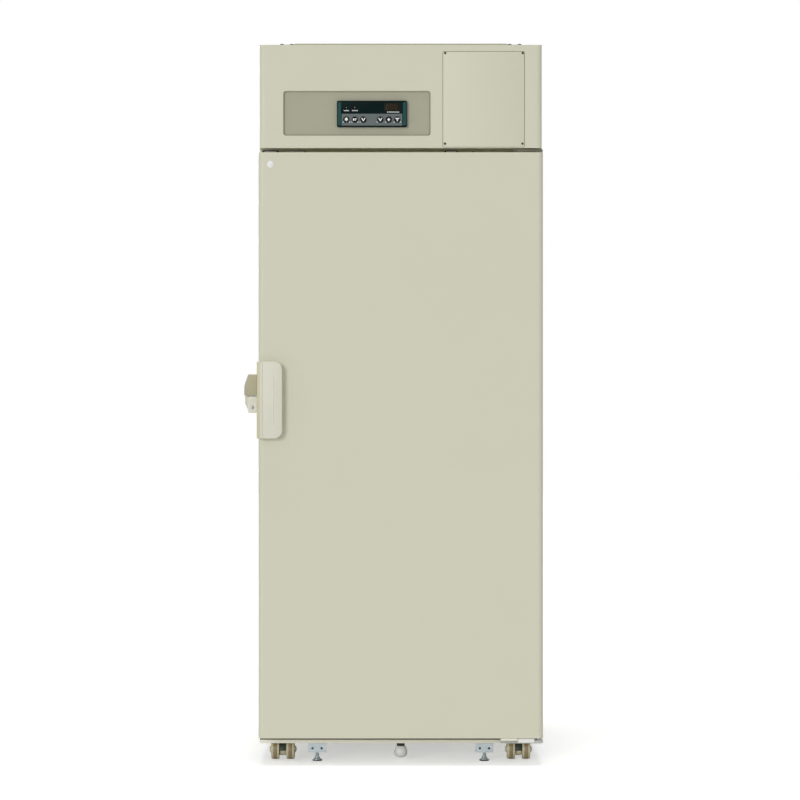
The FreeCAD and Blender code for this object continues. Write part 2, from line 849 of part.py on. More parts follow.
def make_controls():
    """Control housing with its window, and the six keys that slide in it."""
    back = "header_front + recess_depth"
    front = f"({back} - housing_rise)"
    sides = ("housing_left", "housing_right")
    ends = ("housing_bottom", "housing_top")
    block = round_block(sides, (front, back), ends, "housing_corner", "y")
    through = (f"{front} - 1", f"{back} + 1")
    bores = [
        cylinder("Y", (place, "key_level"), "key_radius + 2 * running_gap", through, COARSE_SIDES)
        for place in key_places()
    ]
    pocket = box(("window_left", "window_right"), (f"{front} - 1", f"{front} + window_depth"),
                 ("window_bottom", "window_top"))
    subpart("control_housing", cut(block, pocket, *bores))

    pane = box(("window_left", "window_right"), (f"{front} - seat_gap", f"{front} + window_depth"),
               ("window_bottom", "window_top"))
    subpart("display_window", pane)

    for number, place in enumerate(key_places(), 1):
        ends = (f"{front} - key_rise", f"{front} - key_rise + key_length")
        key = cylinder("Y", (place, "key_level"), "key_radius", ends, COARSE_SIDES)
        subpart(f"key_{number}", key)


def make_hinges():
    """Upper and lower hinge plates, each with its upright leg and fixed pin."""
    hinges = []
    outer = HALF
    for left, level, thickness, leg_right, leg_ends, pin_ends in (
        ("upper_hinge_left", "upper_plate_level", "upper_plate", "upper_leg_right",
         ("upper_plate_level", "upper_leg_top"),
         (f"{DOOR_TOP} - pin_reach", "upper_plate_level + upper_plate")),
        ("lower_hinge_left", "lower_plate_level", "lower_plate", outer,
         ("underside", "lower_leg_top"),
         ("lower_plate_level", "door_bottom + pin_reach")),
    ):
        body = new_body("hinge")
        tongue = "hinge_place - hinge_tongue"
        plan = [
            (left, "collar_plane"), (left, "collar_plane - 3 * hinge_leg"), (tongue, "hinge_front"),
            (outer, "hinge_front"), (outer, "collar_plane"),
        ]
        feature(body, "Pad", polygon(body, "XY_Plane", plan, level), Length=thickness)
        corners = [{"x": x, "y": "hinge_front"} for x in (outer, tongue)]
        body_fillet(body, "hinge_leg", *corners)
        leg = box((left, leg_right), ("collar_plane - hinge_leg", "collar_plane"), leg_ends)
        pin = cylinder("Z", ("hinge_place", "hinge_depth"), "pin_radius", pin_ends)
        hinges.append(join(body, leg, pin))
    subpart("cabinet_hinges", gather(*hinges))


def make_fittings():
    """Small pieces in the gap over the door, and the cover on the lower hinge."""
    depth = ("collar_plane - fitting_depth", "collar_plane")
    height = ("fitting_level", "fitting_top")
    clip = box(("clip_left", "clip_right"), ("collar_plane - fitting_depth / 2", "collar_plane"), height)
    stop = box(("stop_left", "stop_right"), depth, height)
    switch = box(("switch_left", "switch_right"), depth, height)
    shell = round_block(("hinge_cover_left", "hinge_cover_right"),
                        ("hinge_cover_front", "collar_plane - hinge_leg"),
                        ("lower_plate_level + seat_gap", "hinge_cover_top"), "front_edge", "z")
    room = box(("hinge_cover_left - 1", "hinge_cover_right + 1"),
               ("hinge_cover_front + hinge_cover_wall", "collar_plane"),
               ("lower_plate_level - 1", "lower_plate_level + lower_plate"))
    clear = "(bush_width / 2 + 1)"
    pin_room = box((f"hinge_place - {clear}", "hinge_place"),
                   (f"hinge_depth - {clear}", f"hinge_depth + {clear}"), ("lower_plate_level", "door_bottom"))
    cover = cut(shell, room, pin_room)
    subpart("collar_fittings", gather(clip, stop, switch, cover))


def make_catch():
    """Bracket beside the door's left edge that a padlock ties the handle to, and the two parts over it."""
    body = new_body("catch")
    wall_face = f"(-{HALF})"
    slope = "catch_back - catch_rear_slope"
    behind = f"{CATCH_INNER} - catch_sheet"
    hasp_end = f"{wall_face} - hasp_reach"
    plan = [
        (wall_face, slope), (wall_face, "catch_plate_back"), (f"{wall_face} - catch_sheet", "catch_plate_back"),
        (f"{wall_face} - catch_sheet", "catch_back - 4 * catch_sheet"), (behind, slope),
        (behind, "hasp_depth + catch_sheet"), (hasp_end, "hasp_depth + catch_sheet"),
        (hasp_end, "hasp_depth"), (CATCH_INNER, "hasp_depth"), (CATCH_INNER, f"{slope} - 2 * catch_sheet"),
    ]
    plate = polygon(body, "XY_Plane", plan, "catch_bottom + sheet")
    feature(body, "Pad", plate, Length="catch_split - catch_bottom - 2 * sheet")
    bore = cylinder("Y", ("lock_place", "lock_level"), "lock_radius",
                    ("hasp_depth - 1", "hasp_depth + catch_sheet + 1"))
    subpart("catch_bracket", cut(body, bore))

    outer = f"({wall_face} - catch_reach)"
    face = f"({CATCH_INNER} - catch_face)"
    cover_plan = [
        (CATCH_INNER, "catch_front"), (face, "catch_front"), (outer, "catch_flank_depth"),
        (outer, slope), (face, "catch_back"), (wall_face, "catch_back"),
        (wall_face, "collar_plane + catch_clearance"), (CATCH_INNER, "collar_plane"),
    ]
    skirt_outer = f"{outer} + sheet"
    skirt_inner = f"{CATCH_INNER} - 2 * catch_sheet"
    skirt_front = "catch_flank_depth + 2 * catch_sheet"
    skirt_back = "catch_back - skirt_inset"
    skirt_plan = [
        (face, skirt_front), (skirt_outer, "catch_flank_depth + catch_face"),
        (skirt_outer, f"{slope} - catch_clearance"), (face, skirt_back),
        (skirt_inner, skirt_back), (skirt_inner, skirt_front),
    ]
    past = f"{outer} - 1"
    upper_corner = [
        (past, "catch_top + 1"), (past, "catch_top - catch_slope - 2 * sheet"),
        (f"{face} - 2 * sheet", "catch_top"), (f"{face} - 2 * sheet", "catch_top + 1"),
    ]
    lower_corner = [
        (past, "catch_bottom - 1"), (f"{face} + catch_sheet", "catch_bottom - 1"),
        (f"{face} + catch_sheet", "catch_bottom"), (past, "catch_bottom + catch_slope"),
    ]
    for name, plan, low, high, corner in (
        ("catch_cover", cover_plan, "catch_split", "catch_top", upper_corner),
        ("catch_skirt", skirt_plan, "catch_bottom + sheet", "catch_split", lower_corner),
    ):
        body = new_body(name)
        feature(body, "Pad", polygon(body, "XY_Plane", plan, low), Length=f"{high} - ({low})")
        bevel = polygon(body, "XZ_Plane", corner, "-2 * catch_front")
        feature(body, "Pocket", bevel, Length="catch_back - 4 * catch_front")
        subpart(name, body)


def make_door():
    """Door skin, foam, liner with its raised dyke, gasket, plug and hinge bushes."""
    shell = pan("door", DOOR_HALF, "0", "door_depth - door_sheet", "door_bottom", DOOR_TOP, "door_sheet")
    pins = ("hinge_place", "hinge_depth")
    bush = [(f"{place} - bush_width / 2", f"{place} + bush_width / 2") for place in pins]
    low_end = ("door_bottom", "door_bottom + bush_length")
    high_end = (f"{DOOR_TOP} - bush_length", DOOR_TOP)
    low_seat = box(*bush, ("door_bottom - 1", low_end[1]))
    high_seat = box(*bush, (high_end[0], f"{DOOR_TOP} + 1"))
    subpart("door_skin", cut(shell, low_seat, high_seat))

    half = f"({DOOR_HALF} - door_sheet)"
    ends = ("door_bottom + door_sheet", f"{DOOR_TOP} - door_sheet")
    slab = box((f"-{half}", half), ("door_sheet", "door_depth - door_sheet"), ends)
    slab = rounded(slab, "front_corner", {"x": f"-{half}", "y": "door_sheet"}, {"x": half, "y": "door_sheet"})
    dyke = "(dyke_width / 2 - dyke_sheet)"
    filled = ("door_depth - 2 * door_sheet", "door_depth + dyke_rise - dyke_sheet")
    high = ("dyke_bottom + dyke_sheet", "dyke_top - dyke_sheet")
    core = round_block((f"-{dyke}", dyke), filled, high, "dyke_corner", "y")
    subpart("door_foam", cut(join(slab, core), box(*bush, low_end), box(*bush, high_end)))

    sheet_back = box((f"-{half}", half), ("door_depth - door_sheet", "door_depth"), ends)
    bulge = round_block(("-dyke_width / 2", "dyke_width / 2"),
                        ("door_depth - door_sheet", "door_depth + dyke_rise"),
                        ("dyke_bottom", "dyke_top"), "dyke_corner + dyke_sheet", "y")
    room = round_block((f"-{dyke}", dyke), filled, high, "dyke_corner", "y")
    subpart("door_liner", cut(join(sheet_back, bulge), room))

    reach = f"({INSIDE} + gasket_overlap)"
    low = "(interior_floor - gasket_overlap)"
    high = "(interior_top + gasket_overlap)"

    def ring(width, shift, depth):
        """One rectangular ring of the gasket."""
        out = box((f"{shift} - {reach}", f"{reach} - ({shift})"), depth,
                  (f"{low} + {shift}", f"{high} - ({shift})"))
        inset = f"({shift} + {width})"
        within = box((f"{inset} - {reach}", f"{reach} - {inset}"), (f"{depth[0]} - 1", f"{depth[1]} + 1"),
                     (f"{low} + {inset}", f"{high} - {inset}"))
        return cut(out, within)

    rise = "door_depth + gasket_foot_depth"
    foot = ring("gasket_foot", "((gasket_width - gasket_foot) / 2)", ("door_depth", rise))
    bulb = ring("gasket_width", "0", (rise, "collar_plane - seat_gap"))
    subpart("door_gasket", join(foot, bulb))

    plug = cylinder("Y", ("plug_place", "plug_level"), "plug_radius", ("-plug_rise", "0"), FINE_SIDES)
    subpart("door_plug", plug)

    bushes = []
    for ends in (low_end, high_end):
        bore = cylinder("Z", pins, "pin_radius + running_gap", (f"{ends[0]} - 1", f"{ends[1]} + 1"))
        bushes.append(cut(box(*bush, ends), bore))
    subpart("hinge_bushes", gather(*bushes))


def make_handle():
    """Handle base with its knuckle and pin, and the lever that turns on the pin."""
    axis = ("handle_pin_place", PIN_DEPTH)
    middle = "((handle_bottom + handle_top) / 2)"
    ends = (f"{middle} - knuckle_length / 2", f"{middle} + knuckle_length / 2")
    plate = box(("handle_plate_left", "handle_plate_right"), ("-handle_plate", "0"),
                ("handle_bottom + barrel_cap", "handle_top - barrel_cap"))
    body = new_body("web")
    plan = [
        ("handle_pin_place - handle_plate", f"{PIN_DEPTH} + handle_plate"),
        ("handle_pin_place + knuckle_radius - 2 * sheet", f"{PIN_DEPTH} - sheet"),
        ("handle_plate_left + 3 * handle_plate", "-handle_plate / 2"),
        ("handle_plate_left + sheet", "-handle_plate / 2"),
    ]
    feature(body, "Pad", polygon(body, "XY_Plane", plan, ends[0]), Length="knuckle_length")
    knuckle = cylinder("Z", axis, "knuckle_radius", ends, COARSE_SIDES)
    pin = cylinder("Z", axis, "handle_pin_radius",
                   ("handle_bottom + handle_pin_margin", "handle_top - handle_pin_margin"))
    subpart("handle_base", join(plate, body, knuckle, pin))

    whole = ("handle_bottom", "handle_top")
    barrel = cylinder("Z", axis, "barrel_radius", whole, FINE_SIDES)
    face = ("-handle_reach", "paddle - handle_reach")
    paddle = round_block(("handle_pin_place", "handle_right"), face, whole, "paddle_corner", "y")
    square = box(("handle_pin_place", "handle_pin_place + 2 * paddle_corner"), face, whole)
    lip = box(("handle_right - paddle", "handle_right"), ("-handle_reach", "paddle_lip - handle_reach"),
              ("handle_bottom + paddle_corner", "handle_top - paddle_corner"))
    rib = box(("paddle_rib_place - paddle_rib / 2", "paddle_rib_place + paddle_rib / 2"),
              ("-handle_reach - seat_gap", "-handle_reach + sheet"),
              ("handle_bottom + paddle_rib_margin", "handle_top - paddle_rib_margin"))
    tab = box(("handle_pin_place - tab_reach", "handle_pin_place - barrel_radius + 2 * sheet"),
              (f"{PIN_DEPTH} - tab_sheet / 2", f"{PIN_DEPTH} + tab_sheet / 2"), ("tab_bottom", "tab_top"))
    tab = rounded(tab, "tab_sheet * 2", {"x": "handle_pin_place - tab_reach", "z": "tab_bottom"},
                  {"x": "handle_pin_place - tab_reach", "z": "tab_top"})
    inner = ("handle_bottom + barrel_cap", "handle_top - barrel_cap")
    hollow = cylinder("Z", axis, "barrel_radius - barrel_wall", inner, FINE_SIDES)
    mouth = box(("handle_pin_place - barrel_radius + barrel_wall", "handle_pin_place + barrel_radius + 1"),
                (PIN_DEPTH, "1"), inner)
    end = "(handle_pin_margin - seat_gap)"
    bore = cylinder("Z", axis, "handle_pin_radius + running_gap",
                    (f"handle_bottom + {end}", f"handle_top - {end}"))
    lock = cylinder("Y", ("lock_place", "lock_level"), "lock_radius",
                    (f"{PIN_DEPTH} - tab_sheet", f"{PIN_DEPTH} + tab_sheet"))
    lever = cut(join(barrel, paddle, square, lip, rib), hollow, mouth, bore)
    subpart("handle_lever", gather(lever, cut(tab, barrel, lock)))


def caster_places():
    """Each caster's name, swivel axis and the level of its plate's underside."""
    front = ("caster_front", "caster_plate_level")
    back = ("caster_back", "(caster_plate_level - wheel_lift)")
    return [
        (f"{row}_{side}", f"{sign}caster_place", *place)
        for row, place in (("front", front), ("rear", back))
        for side, sign in (("left", "-"), ("right", ""))
    ]


def make_casters():
    """Mounting plates, swivel forks with their hoods, and pairs of wheels on one axle."""
    plates = []
    for name, x, y, level in caster_places():
        half = "caster_plate_width / 2"
        across = (f"{x} - {half}", f"{x} + {half}")
        along = (f"{y} - {half}", f"{y} + {half}")
        plates.append(box(across, along, (level, "pan_height")))
    subpart("caster_plates", gather(*plates))

    near = "wheel_gap / 2"
    far = f"({near} + wheel_width)"
    centre = ("-caster_trail", "-caster_drop")
    bearing = "axle_radius + running_gap"
    for name, x, y, level in caster_places():
        hood = cylinder("X", centre, "hood_radius", (f"-{far}", far), COARSE_SIDES)
        room = cylinder("X", centre, "hood_radius - hood_wall", (f"-{far} - 1", f"{far} + 1"), COARSE_SIDES)
        under = box((f"-{far} - 1", f"{far} + 1"), ("-caster_trail - 2 * hood_radius", "2 * hood_radius"),
                    ("-caster_drop - 2 * hood_radius", "-caster_drop"))
        side = ("-neck_width / 2", "neck_width / 2")
        neck = box(side, side, ("-seat_gap - neck_height", "-seat_gap"))
        shell = cut(join(hood, neck), under, room)
        web = box(("-web_width / 2", "web_width / 2"),
                  ("-caster_trail - web_depth / 2", "-caster_trail + web_depth / 2"),
                  ("-caster_drop - web_depth / 2", "hood_radius - hood_wall - caster_drop"))
        slot = box(("-web_width", "web_width"), (f"-caster_trail - ({bearing})", f"-caster_trail + {bearing}"),
                   ("-caster_drop - web_depth", f"-caster_drop + {bearing}"))
        subpart(f"caster_fork_{name}", put(cut(join(shell, web), slot), x, y, level))

        hub = ("0", "0")
        pair = [cylinder("X", hub, "axle_radius", (f"-{far}", far), COARSE_SIDES)]
        for tread, cap in (
            ((near, far), (f"{far} - 1", f"{far} + axle_cap_rise")),
            ((f"-{far}", f"-({near})"), (f"-{far} - axle_cap_rise", f"1 - {far}")),
        ):
            pair.append(cylinder("X", hub, "wheel_radius", tread, FINE_SIDES))
            pair.append(cylinder("X", hub, "axle_cap_radius", cap, COARSE_SIDES))
        wheels = put(join(*pair), x, f"{y} - caster_trail", f"{level} - caster_drop")
        subpart(f"caster_wheels_{name}", wheels)


def make_feet():
    """Brackets of the levelling feet, with their stems and pads."""
    brackets = []
    for side, sign in (("left", "-"), ("right", "")):
        x = f"{sign}foot_place"
        place = (x, "foot_depth")
        wide = (f"{x} - foot_bracket_width / 2", f"{x} + foot_bracket_width / 2")
        deep = ("foot_bracket_front", "foot_bracket_back")
        shelf_ends = ("foot_bracket_bottom", "foot_bracket_bottom + foot_bracket_sheet")
        face = box(wide, (deep[0], "foot_bracket_front + foot_bracket_sheet"),
                   ("foot_bracket_bottom", "pan_height"))
        shelf = box(wide, deep, shelf_ends)
        flange = box(wide, deep, ("pan_height - foot_bracket_sheet", "pan_height"))
        bore = cylinder("Z", place, "foot_stem_radius + running_gap",
                        (f"{shelf_ends[0]} - 1", f"{shelf_ends[1]} + 1"))
        brackets.append(cut(join(face, shelf, flange), bore))
        stem = cylinder("Z", place, "foot_stem_radius", ("foot_pad_height", "foot_stem_top"))
        subpart(f"foot_stem_{side}", stem)
        pad = cylinder("Z", place, "foot_pad_radius", ("0", "foot_pad_height"), FINE_SIDES)
        subpart(f"foot_pad_{side}", pad)
    subpart("foot_brackets", gather(*brackets))


def make_drain():
    """Drain tube with its push-on cap, and the sleeve of the access port."""
    pipe = cut(drain_rod("drain_radius", ("drain_bottom", "interior_floor")),
               drain_rod("drain_bore", ("drain_bottom - 1", "interior_floor + 1")))
    at_port = ("port_place", "port_level")
    sleeve = cut(cylinder("Y", at_port, "port_radius", ("interior_back", "cabinet_depth")),
                 cylinder("Y", at_port, "port_bore", ("interior_back - 1", "cabinet_depth + 1")))
    subpart("liner_tubes", gather(pipe, sleeve))

    cap = drain_rod("cap_radius", ("cap_bottom", "cap_top"))
    socket = drain_rod("drain_radius + running_gap", ("drain_bottom - seat_gap", "cap_top + 1"))
    subpart("drain_cap", cut(cap, socket))


def tube_points():
    """The corners of the serpentine tube under a shelf, run by run."""
    points = []
    for run in range(TUBE_RUNS):
        row = f"tube_first + {run} * tube_pitch"
        start, stop = ("", "-") if run % 2 else ("-", "")
        if run:
            points.append((f"{start}(tube_run + tube_bend)", f"{row} - tube_bend"))
        points.append((f"{start}tube_run", row))
        points.append((f"{stop}tube_run", row))
        if run < TUBE_RUNS - 1:
            points.append((f"{stop}(tube_run + tube_bend)", f"{row} + tube_bend"))
    return points


def make_shelves():
    """Fixed evaporator shelves, each a plate with a serpentine tube under it, and their rails."""
    body = new_body("shelves")
    half = f"({INSIDE} - shelf_clearance)"
    plate = rectangle(body, "XY_Plane", (f"-{half}", half), ("shelf_front", "shelf_back"), SHELF_LEVEL)
    slab = feature(body, "Pad", plate, Length="shelf_plate")
    level = f"{SHELF_LEVEL} - tube_radius + tube_sink"
    path = sketch_on(body, "XY_Plane", level)
    points = tube_points()
    spots = [Vector(value(across), value(along), 0) for across, along in points]
    for number, (start, stop) in enumerate(zip(spots, spots[1:])):
        path.addGeometry(Part.LineSegment(start, stop), False)
        fix_point(path, number, 1, points[number])
        if number:
            path.addConstraint(Sketcher.Constraint("Coincident", number - 1, 2, number, 1))
    fix_point(path, len(points) - 2, 2, points[-1])
    section = rectangle(body, "YZ_Plane", ("tube_first - tube_radius", "tube_first + tube_radius"),
                        (f"{level} - tube_radius", f"{level} + tube_radius"), "-tube_run")
    document.recompute()
    tube = body.newObject("PartDesign::AdditivePipe", "tube")
    tube.Profile = section
    tube.Spine = (path, [])
    tube.Transition = "Right corner"
    document.recompute()
    repeated(body, [slab, tube], "Z_Axis", "shelf_spacing * (shelf_count - 1)", "shelf_count")
    subpart("evaporator_shelves", body)

    body = new_body("rails")
    pads = []
    for sign in ("-", ""):
        wall_face = f"{sign}({INSIDE})"
        near = f"{sign}({INSIDE} - rail_sheet)"
        far = f"{sign}({INSIDE} - rail_width)"
        profile = [
            (wall_face, SHELF_LEVEL), (far, SHELF_LEVEL), (far, f"{SHELF_LEVEL} - rail_sheet"),
            (near, f"{SHELF_LEVEL} - rail_sheet"), (near, f"{SHELF_LEVEL} - rail_height"),
            (wall_face, f"{SHELF_LEVEL} - rail_height"),
        ]
        angle = polygon(body, "XZ_Plane", profile, "rail_lap - shelf_front")
        pads.append(feature(body, "Pad", angle, True, Length="shelf_back - shelf_front + rail_lap"))
    document.recompute()
    repeated(body, pads, "Z_Axis", "shelf_spacing * (shelf_count - 1)", "shelf_count")
    subpart("shelf_rails", body)


def make_machine():
    """Compressor, condenser, fan and electrical box in the compartment over the insulation."""
    middle = ("compressor_place", "compressor_depth")
    plate_level = "compartment_floor + compressor_foot"
    shoulder = "compartment_floor + compressor_height - compressor_dome"
    shell = cylinder("Z", middle, "compressor_radius", (plate_level, shoulder), FINE_SIDES)
    dome = cylinder("Z", middle, "compressor_radius - compressor_dome",
                    (f"{shoulder} - 1", f"{shoulder} + compressor_dome"), FINE_SIDES)
    half = "compressor_plate_width / 2"
    wide = (f"compressor_place - {half}", f"compressor_place + {half}")
    deep = (f"compressor_depth - {half} * 0.7", f"compressor_depth + {half} * 0.7")
    plate = box(wide, deep, (f"{plate_level} - compressor_plate", plate_level))
    feet = [
        box(across, along, ("compartment_floor", plate_level))
        for across in ((wide[0], f"{wide[0]} + neck_width"), (f"{wide[1]} - neck_width", wide[1]))
        for along in ((deep[0], f"{deep[0]} + neck_width"), (f"{deep[1]} - neck_width", deep[1]))
    ]
    subpart("compressor", join(shell, dome, plate, *feet))

    body = new_body("condenser")
    right = "condenser_left + condenser_width"
    top = "compartment_floor + condenser_height"
    near = "(condenser_front + condenser_depth)"
    wide = ("condenser_left", right)
    block = rectangle(body, "XY_Plane", wide, ("condenser_front", near), "compartment_floor")
    feature(body, "Pad", block, Length="condenser_height")
    grooves = []
    first = ("condenser_left + fin_pitch - fin_gap", "condenser_left + fin_pitch")
    for deep in (("condenser_front - 1", "condenser_front + fin_cut"), (f"{near} - fin_cut", f"{near} + 1")):
        groove = rectangle(body, "XY_Plane", first, deep, "compartment_floor + fin_gap")
        grooves.append(feature(body, "Pocket", groove, True, Length="condenser_height - 2 * fin_gap"))
    document.recompute()
    count = "floor(condenser_width / fin_pitch) - 1"
    repeated(body, grooves, "X_Axis", f"fin_pitch * ({count} - 1)", count)
    subpart("condenser", body)

    centre = (FAN_PLACE, FAN_LEVEL)
    outer = "(fan_opening + shroud_sheet)"

    def square(half, span):
        """A square block about the fan's axis."""
        return box((f"{FAN_PLACE} - {half}", f"{FAN_PLACE} + {half}"), span,
                   (f"{FAN_LEVEL} - {half}", f"{FAN_LEVEL} + {half}"))

    plate = box(("condenser_left", right), (near, f"{near} + shroud_sheet"), ("compartment_floor", top))
    hole = cylinder("Y", centre, "fan_opening", (f"{near} - 1", f"{near} + shroud_sheet + 1"), FINE_SIDES)
    duct = cut(square(outer, (near, FAN_BACK)),
               square("fan_opening", (f"{near} + shroud_sheet", f"{FAN_BACK} + 1")))
    motor = cylinder("Y", centre, "motor_radius", (FAN_BACK, f"{FAN_BACK} + motor_length"), FINE_SIDES)
    bore = cylinder("Y", centre, "fan_shaft_radius + running_gap",
                    (f"{FAN_BACK} - 1", f"{FAN_BACK} + motor_length / 2"))
    back = (FAN_BACK, f"{FAN_BACK} + 3 * shroud_sheet")
    wide = (f"{FAN_PLACE} - {outer}", f"{FAN_PLACE} + {outer}")
    high = (f"{FAN_LEVEL} - {outer}", f"{FAN_LEVEL} + {outer}")
    flat = box(wide, back, (f"{FAN_LEVEL} - strut_width / 2", f"{FAN_LEVEL} + strut_width / 2"))
    upright = box((f"{FAN_PLACE} - strut_width / 2", f"{FAN_PLACE} + strut_width / 2"), back, high)
    shroud = cut(join(plate, duct), hole)
    subpart("fan_shroud", cut(join(shroud, motor, flat, upright), bore))

    subpart("fan_blade", make_fan(centre))

    sides = ("box_left", "box_left + box_width")
    case = box(sides, ("cabinet_depth - box_depth", "cabinet_depth"), ("box_bottom", "box_bottom + box_height"))
    middle = "(box_left + box_width / 2)"
    inlet = box((f"{middle} - inlet_width / 2", f"{middle} + inlet_width / 2"),
                ("cabinet_depth - inlet_depth", "cabinet_depth + 1"),
                ("inlet_level - inlet_height / 2", "inlet_level + inlet_height / 2"))
    half = "contact_width / 2"
    contacts = [
        box((f"{middle} + {shift} - {half}", f"{middle} + {shift} + {half}"),
            ("cabinet_depth - inlet_depth - 1", "cabinet_depth - rocker_axle_depth"),
            ("inlet_level - contact_height / 2", "inlet_level + contact_height / 2"))
        for shift in ("-contact_pitch", "0", "contact_pitch")
    ]
    well = box((f"{middle} - rocker_width / 2", f"{middle} + rocker_width / 2"),
               ("cabinet_depth - rocker_depth", "cabinet_depth + 1"),
               ("rocker_level - rocker_height / 2", "rocker_level + rocker_height / 2"))
    pivot_place = ("cabinet_depth - rocker_axle_depth", "rocker_level")
    reach = "(rocker_width / 2 + rocker_axle_reach)"
    axle = cylinder("X", pivot_place, "rocker_axle + 2 * running_gap",
                    (f"{middle} - {reach} - seat_gap", f"{middle} + {reach} + seat_gap"), COARSE_SIDES)
    subpart("electrical_box", join(cut(case, inlet, well, axle), *contacts))

    body = new_body("rocker")
    up = "(rocker_height / 2 - 2)"
    profile = [("-3", f"-{up}"), ("4.2", f"-{up}"), ("1.5", "0"), ("1", up), ("-4", up)]
    side = polygon(body, "YZ_Plane", profile, "seat_gap - rocker_width / 2")
    feature(body, "Pad", side, Length="rocker_width - 2 * seat_gap")
    put(body, middle, *pivot_place)
    across = (f"{middle} - {reach}", f"{middle} + {reach}")
    pivot = cylinder("X", pivot_place, "rocker_axle", across, COARSE_SIDES)
    subpart("power_rocker", join(body, pivot))


def make_fan(centre):
    """Axial fan with pitched blades round a hub, and the shaft that runs in the motor."""
    front = f"({FAN_BACK} - fan_hub_length - seat_gap)"
    back = f"({front} + fan_hub_length)"
    hub = cylinder("Y", centre, "fan_hub_radius", (front, back), COARSE_SIDES)
    shaft_end = f"{back} + motor_length / 2 - fan_shaft_gap"
    shaft = cylinder("Y", centre, "fan_shaft_radius", (f"{back} - 1", shaft_end))
    body = new_body("fan")
    upper = "fan_hub_length / 2"
    lower = "fan_hub_length / 2 - blade_sheet"
    chord = [
        (f"{side}blade_chord / 2", f"{level} {side} blade_pitch / 2")
        for level, side in ((upper, "-"), (upper, "+"), (lower, "+"), (lower, "-"))
    ]
    section = polygon(body, "YZ_Plane", chord, "fan_hub_radius - blade_root")
    blade = feature(body, "Pad", section, Length="fan_radius - fan_hub_radius")
    document.recompute()
    wheel = body.newObject("PartDesign::PolarPattern", "blades")
    wheel.Originals = [blade]
    wheel.Axis = ([axis for axis in body.Origin.OriginFeatures if axis.Role == "Z_Axis"][0], [""])
    wheel.Angle = 360
    bind(wheel, Occurrences="fan_blade_count")
    body.Tip = wheel
    body.Placement.Rotation = FreeCAD.Rotation(Vector(1, 0, 0), -90)
    return join(hub, shaft, put(body, centre[0], front, centre[1]))


def write_steps():
    """Checks every object and writes each sub-part to its own file."""
    document.recompute()
    for thing in document.Objects:
        if {"Invalid", "Error"} & set(thing.State):
            raise RuntimeError(f"{thing.Label} of {thing.TypeId} failed: {thing.State}")
    for piece in subparts:
        if piece.Shape.isNull() or not piece.Shape.isValid() or not piece.Shape.Solids:
            raise RuntimeError(f"{piece.Label} has no valid solid")
    os.makedirs("parts", exist_ok=True)
    for piece in subparts:
        piece.Shape.exportStep(f"parts/{piece.Label}.step")


fill_sheet()
make_side_panels()
make_back_panel()
make_base_pan()
make_insulation()
make_top()
make_rear()
make_header()
make_controls()
make_hinges()
make_fittings()
make_catch()
make_door()
make_handle()
make_casters()
make_feet()
make_drain()
make_shelves()
make_machine()
write_steps()
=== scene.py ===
"""Looks of an upright laboratory freezer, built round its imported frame.

Lengths are given in millimetres of the cabinet: x is 0 in the middle, y is 0 at the door's front
face and grows towards the back, and z is 0 at the floor. Form turns them into the frame's metres.
"""

from __future__ import annotations

import logging
import math
from collections.abc import Iterable, Sequence
from dataclasses import dataclass
from enum import Enum
from functools import cache

import bmesh
import bpy
from mathutils import Matrix, Vector


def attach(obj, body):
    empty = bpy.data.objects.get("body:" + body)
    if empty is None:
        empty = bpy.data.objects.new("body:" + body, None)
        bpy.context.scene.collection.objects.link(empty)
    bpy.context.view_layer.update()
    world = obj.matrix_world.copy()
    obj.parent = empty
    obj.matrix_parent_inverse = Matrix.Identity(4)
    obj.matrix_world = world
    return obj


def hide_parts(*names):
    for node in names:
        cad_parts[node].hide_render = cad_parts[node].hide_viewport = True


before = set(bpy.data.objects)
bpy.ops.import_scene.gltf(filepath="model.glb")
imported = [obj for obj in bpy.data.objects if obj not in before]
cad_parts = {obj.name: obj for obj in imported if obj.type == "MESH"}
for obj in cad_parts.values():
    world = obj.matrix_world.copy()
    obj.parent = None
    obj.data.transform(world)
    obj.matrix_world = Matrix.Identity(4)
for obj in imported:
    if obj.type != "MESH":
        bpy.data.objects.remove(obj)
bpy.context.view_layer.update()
log = logging.getLogger("freezer")

Span = tuple[float, float]
Point = tuple[float, float, float]
Flat = tuple[float, float]
Colour = tuple[float, float, float]
Feed = float | tuple[float, ...] | bpy.types.NodeSocket

WHITE = (1.0, 1.0, 1.0, 1.0)

TO_FRAME = Matrix.Translation((0.020, -0.411, 0.0)) @ Matrix.Scale(0.001, 4)


class Facing(Enum):
    """The plane that a flat outline is drawn in."""

    FRONT = "x and z"
    UP = "x and y"
    LEFT = "y and z"


class Axis(Enum):
    """An axis of the cabinet."""

    X = 0
    Y = 1
    Z = 2


def linear(colour: Colour) -> tuple[float, float, float, float]:
    """Turns a screen colour into the linear one that a shader takes.

    Args:
        colour: Red, green and blue, each from 0 to 255.

    Returns:
        The same colour in linear light, with an alpha of 1.
    """
    parts = [value / 255.0 for value in colour]
    red, green, blue = (p / 12.92 if p <= 0.04045 else ((p + 0.055) / 1.055) ** 2.4 for p in parts)
    return red, green, blue, 1.0


class Grain(Enum):
    """Kinds of small surface relief."""

    ORANGE_PEEL = "Orange peel"
    MOULDED = "Moulded"
    BRUSHED = "Brushed"
    ROLLED = "Rolled"
    TURNED = "Turned"
    SPANGLE = "Spangle"
    CELLS = "Cells"
    FROST = "Frost"


def feed(node: bpy.types.Node, inputs: dict[str | int, Feed]) -> None:
    """Sets a node's inputs, or joins them to what feeds them.

    Args:
        node: The node.
        inputs: A value, or the output that feeds it, for each input.
    """
    for name, value in inputs.items():
        if isinstance(value, bpy.types.NodeSocket):
            node.id_data.links.new(value, node.inputs[name])
        else:
            node.inputs[name].default_value = value


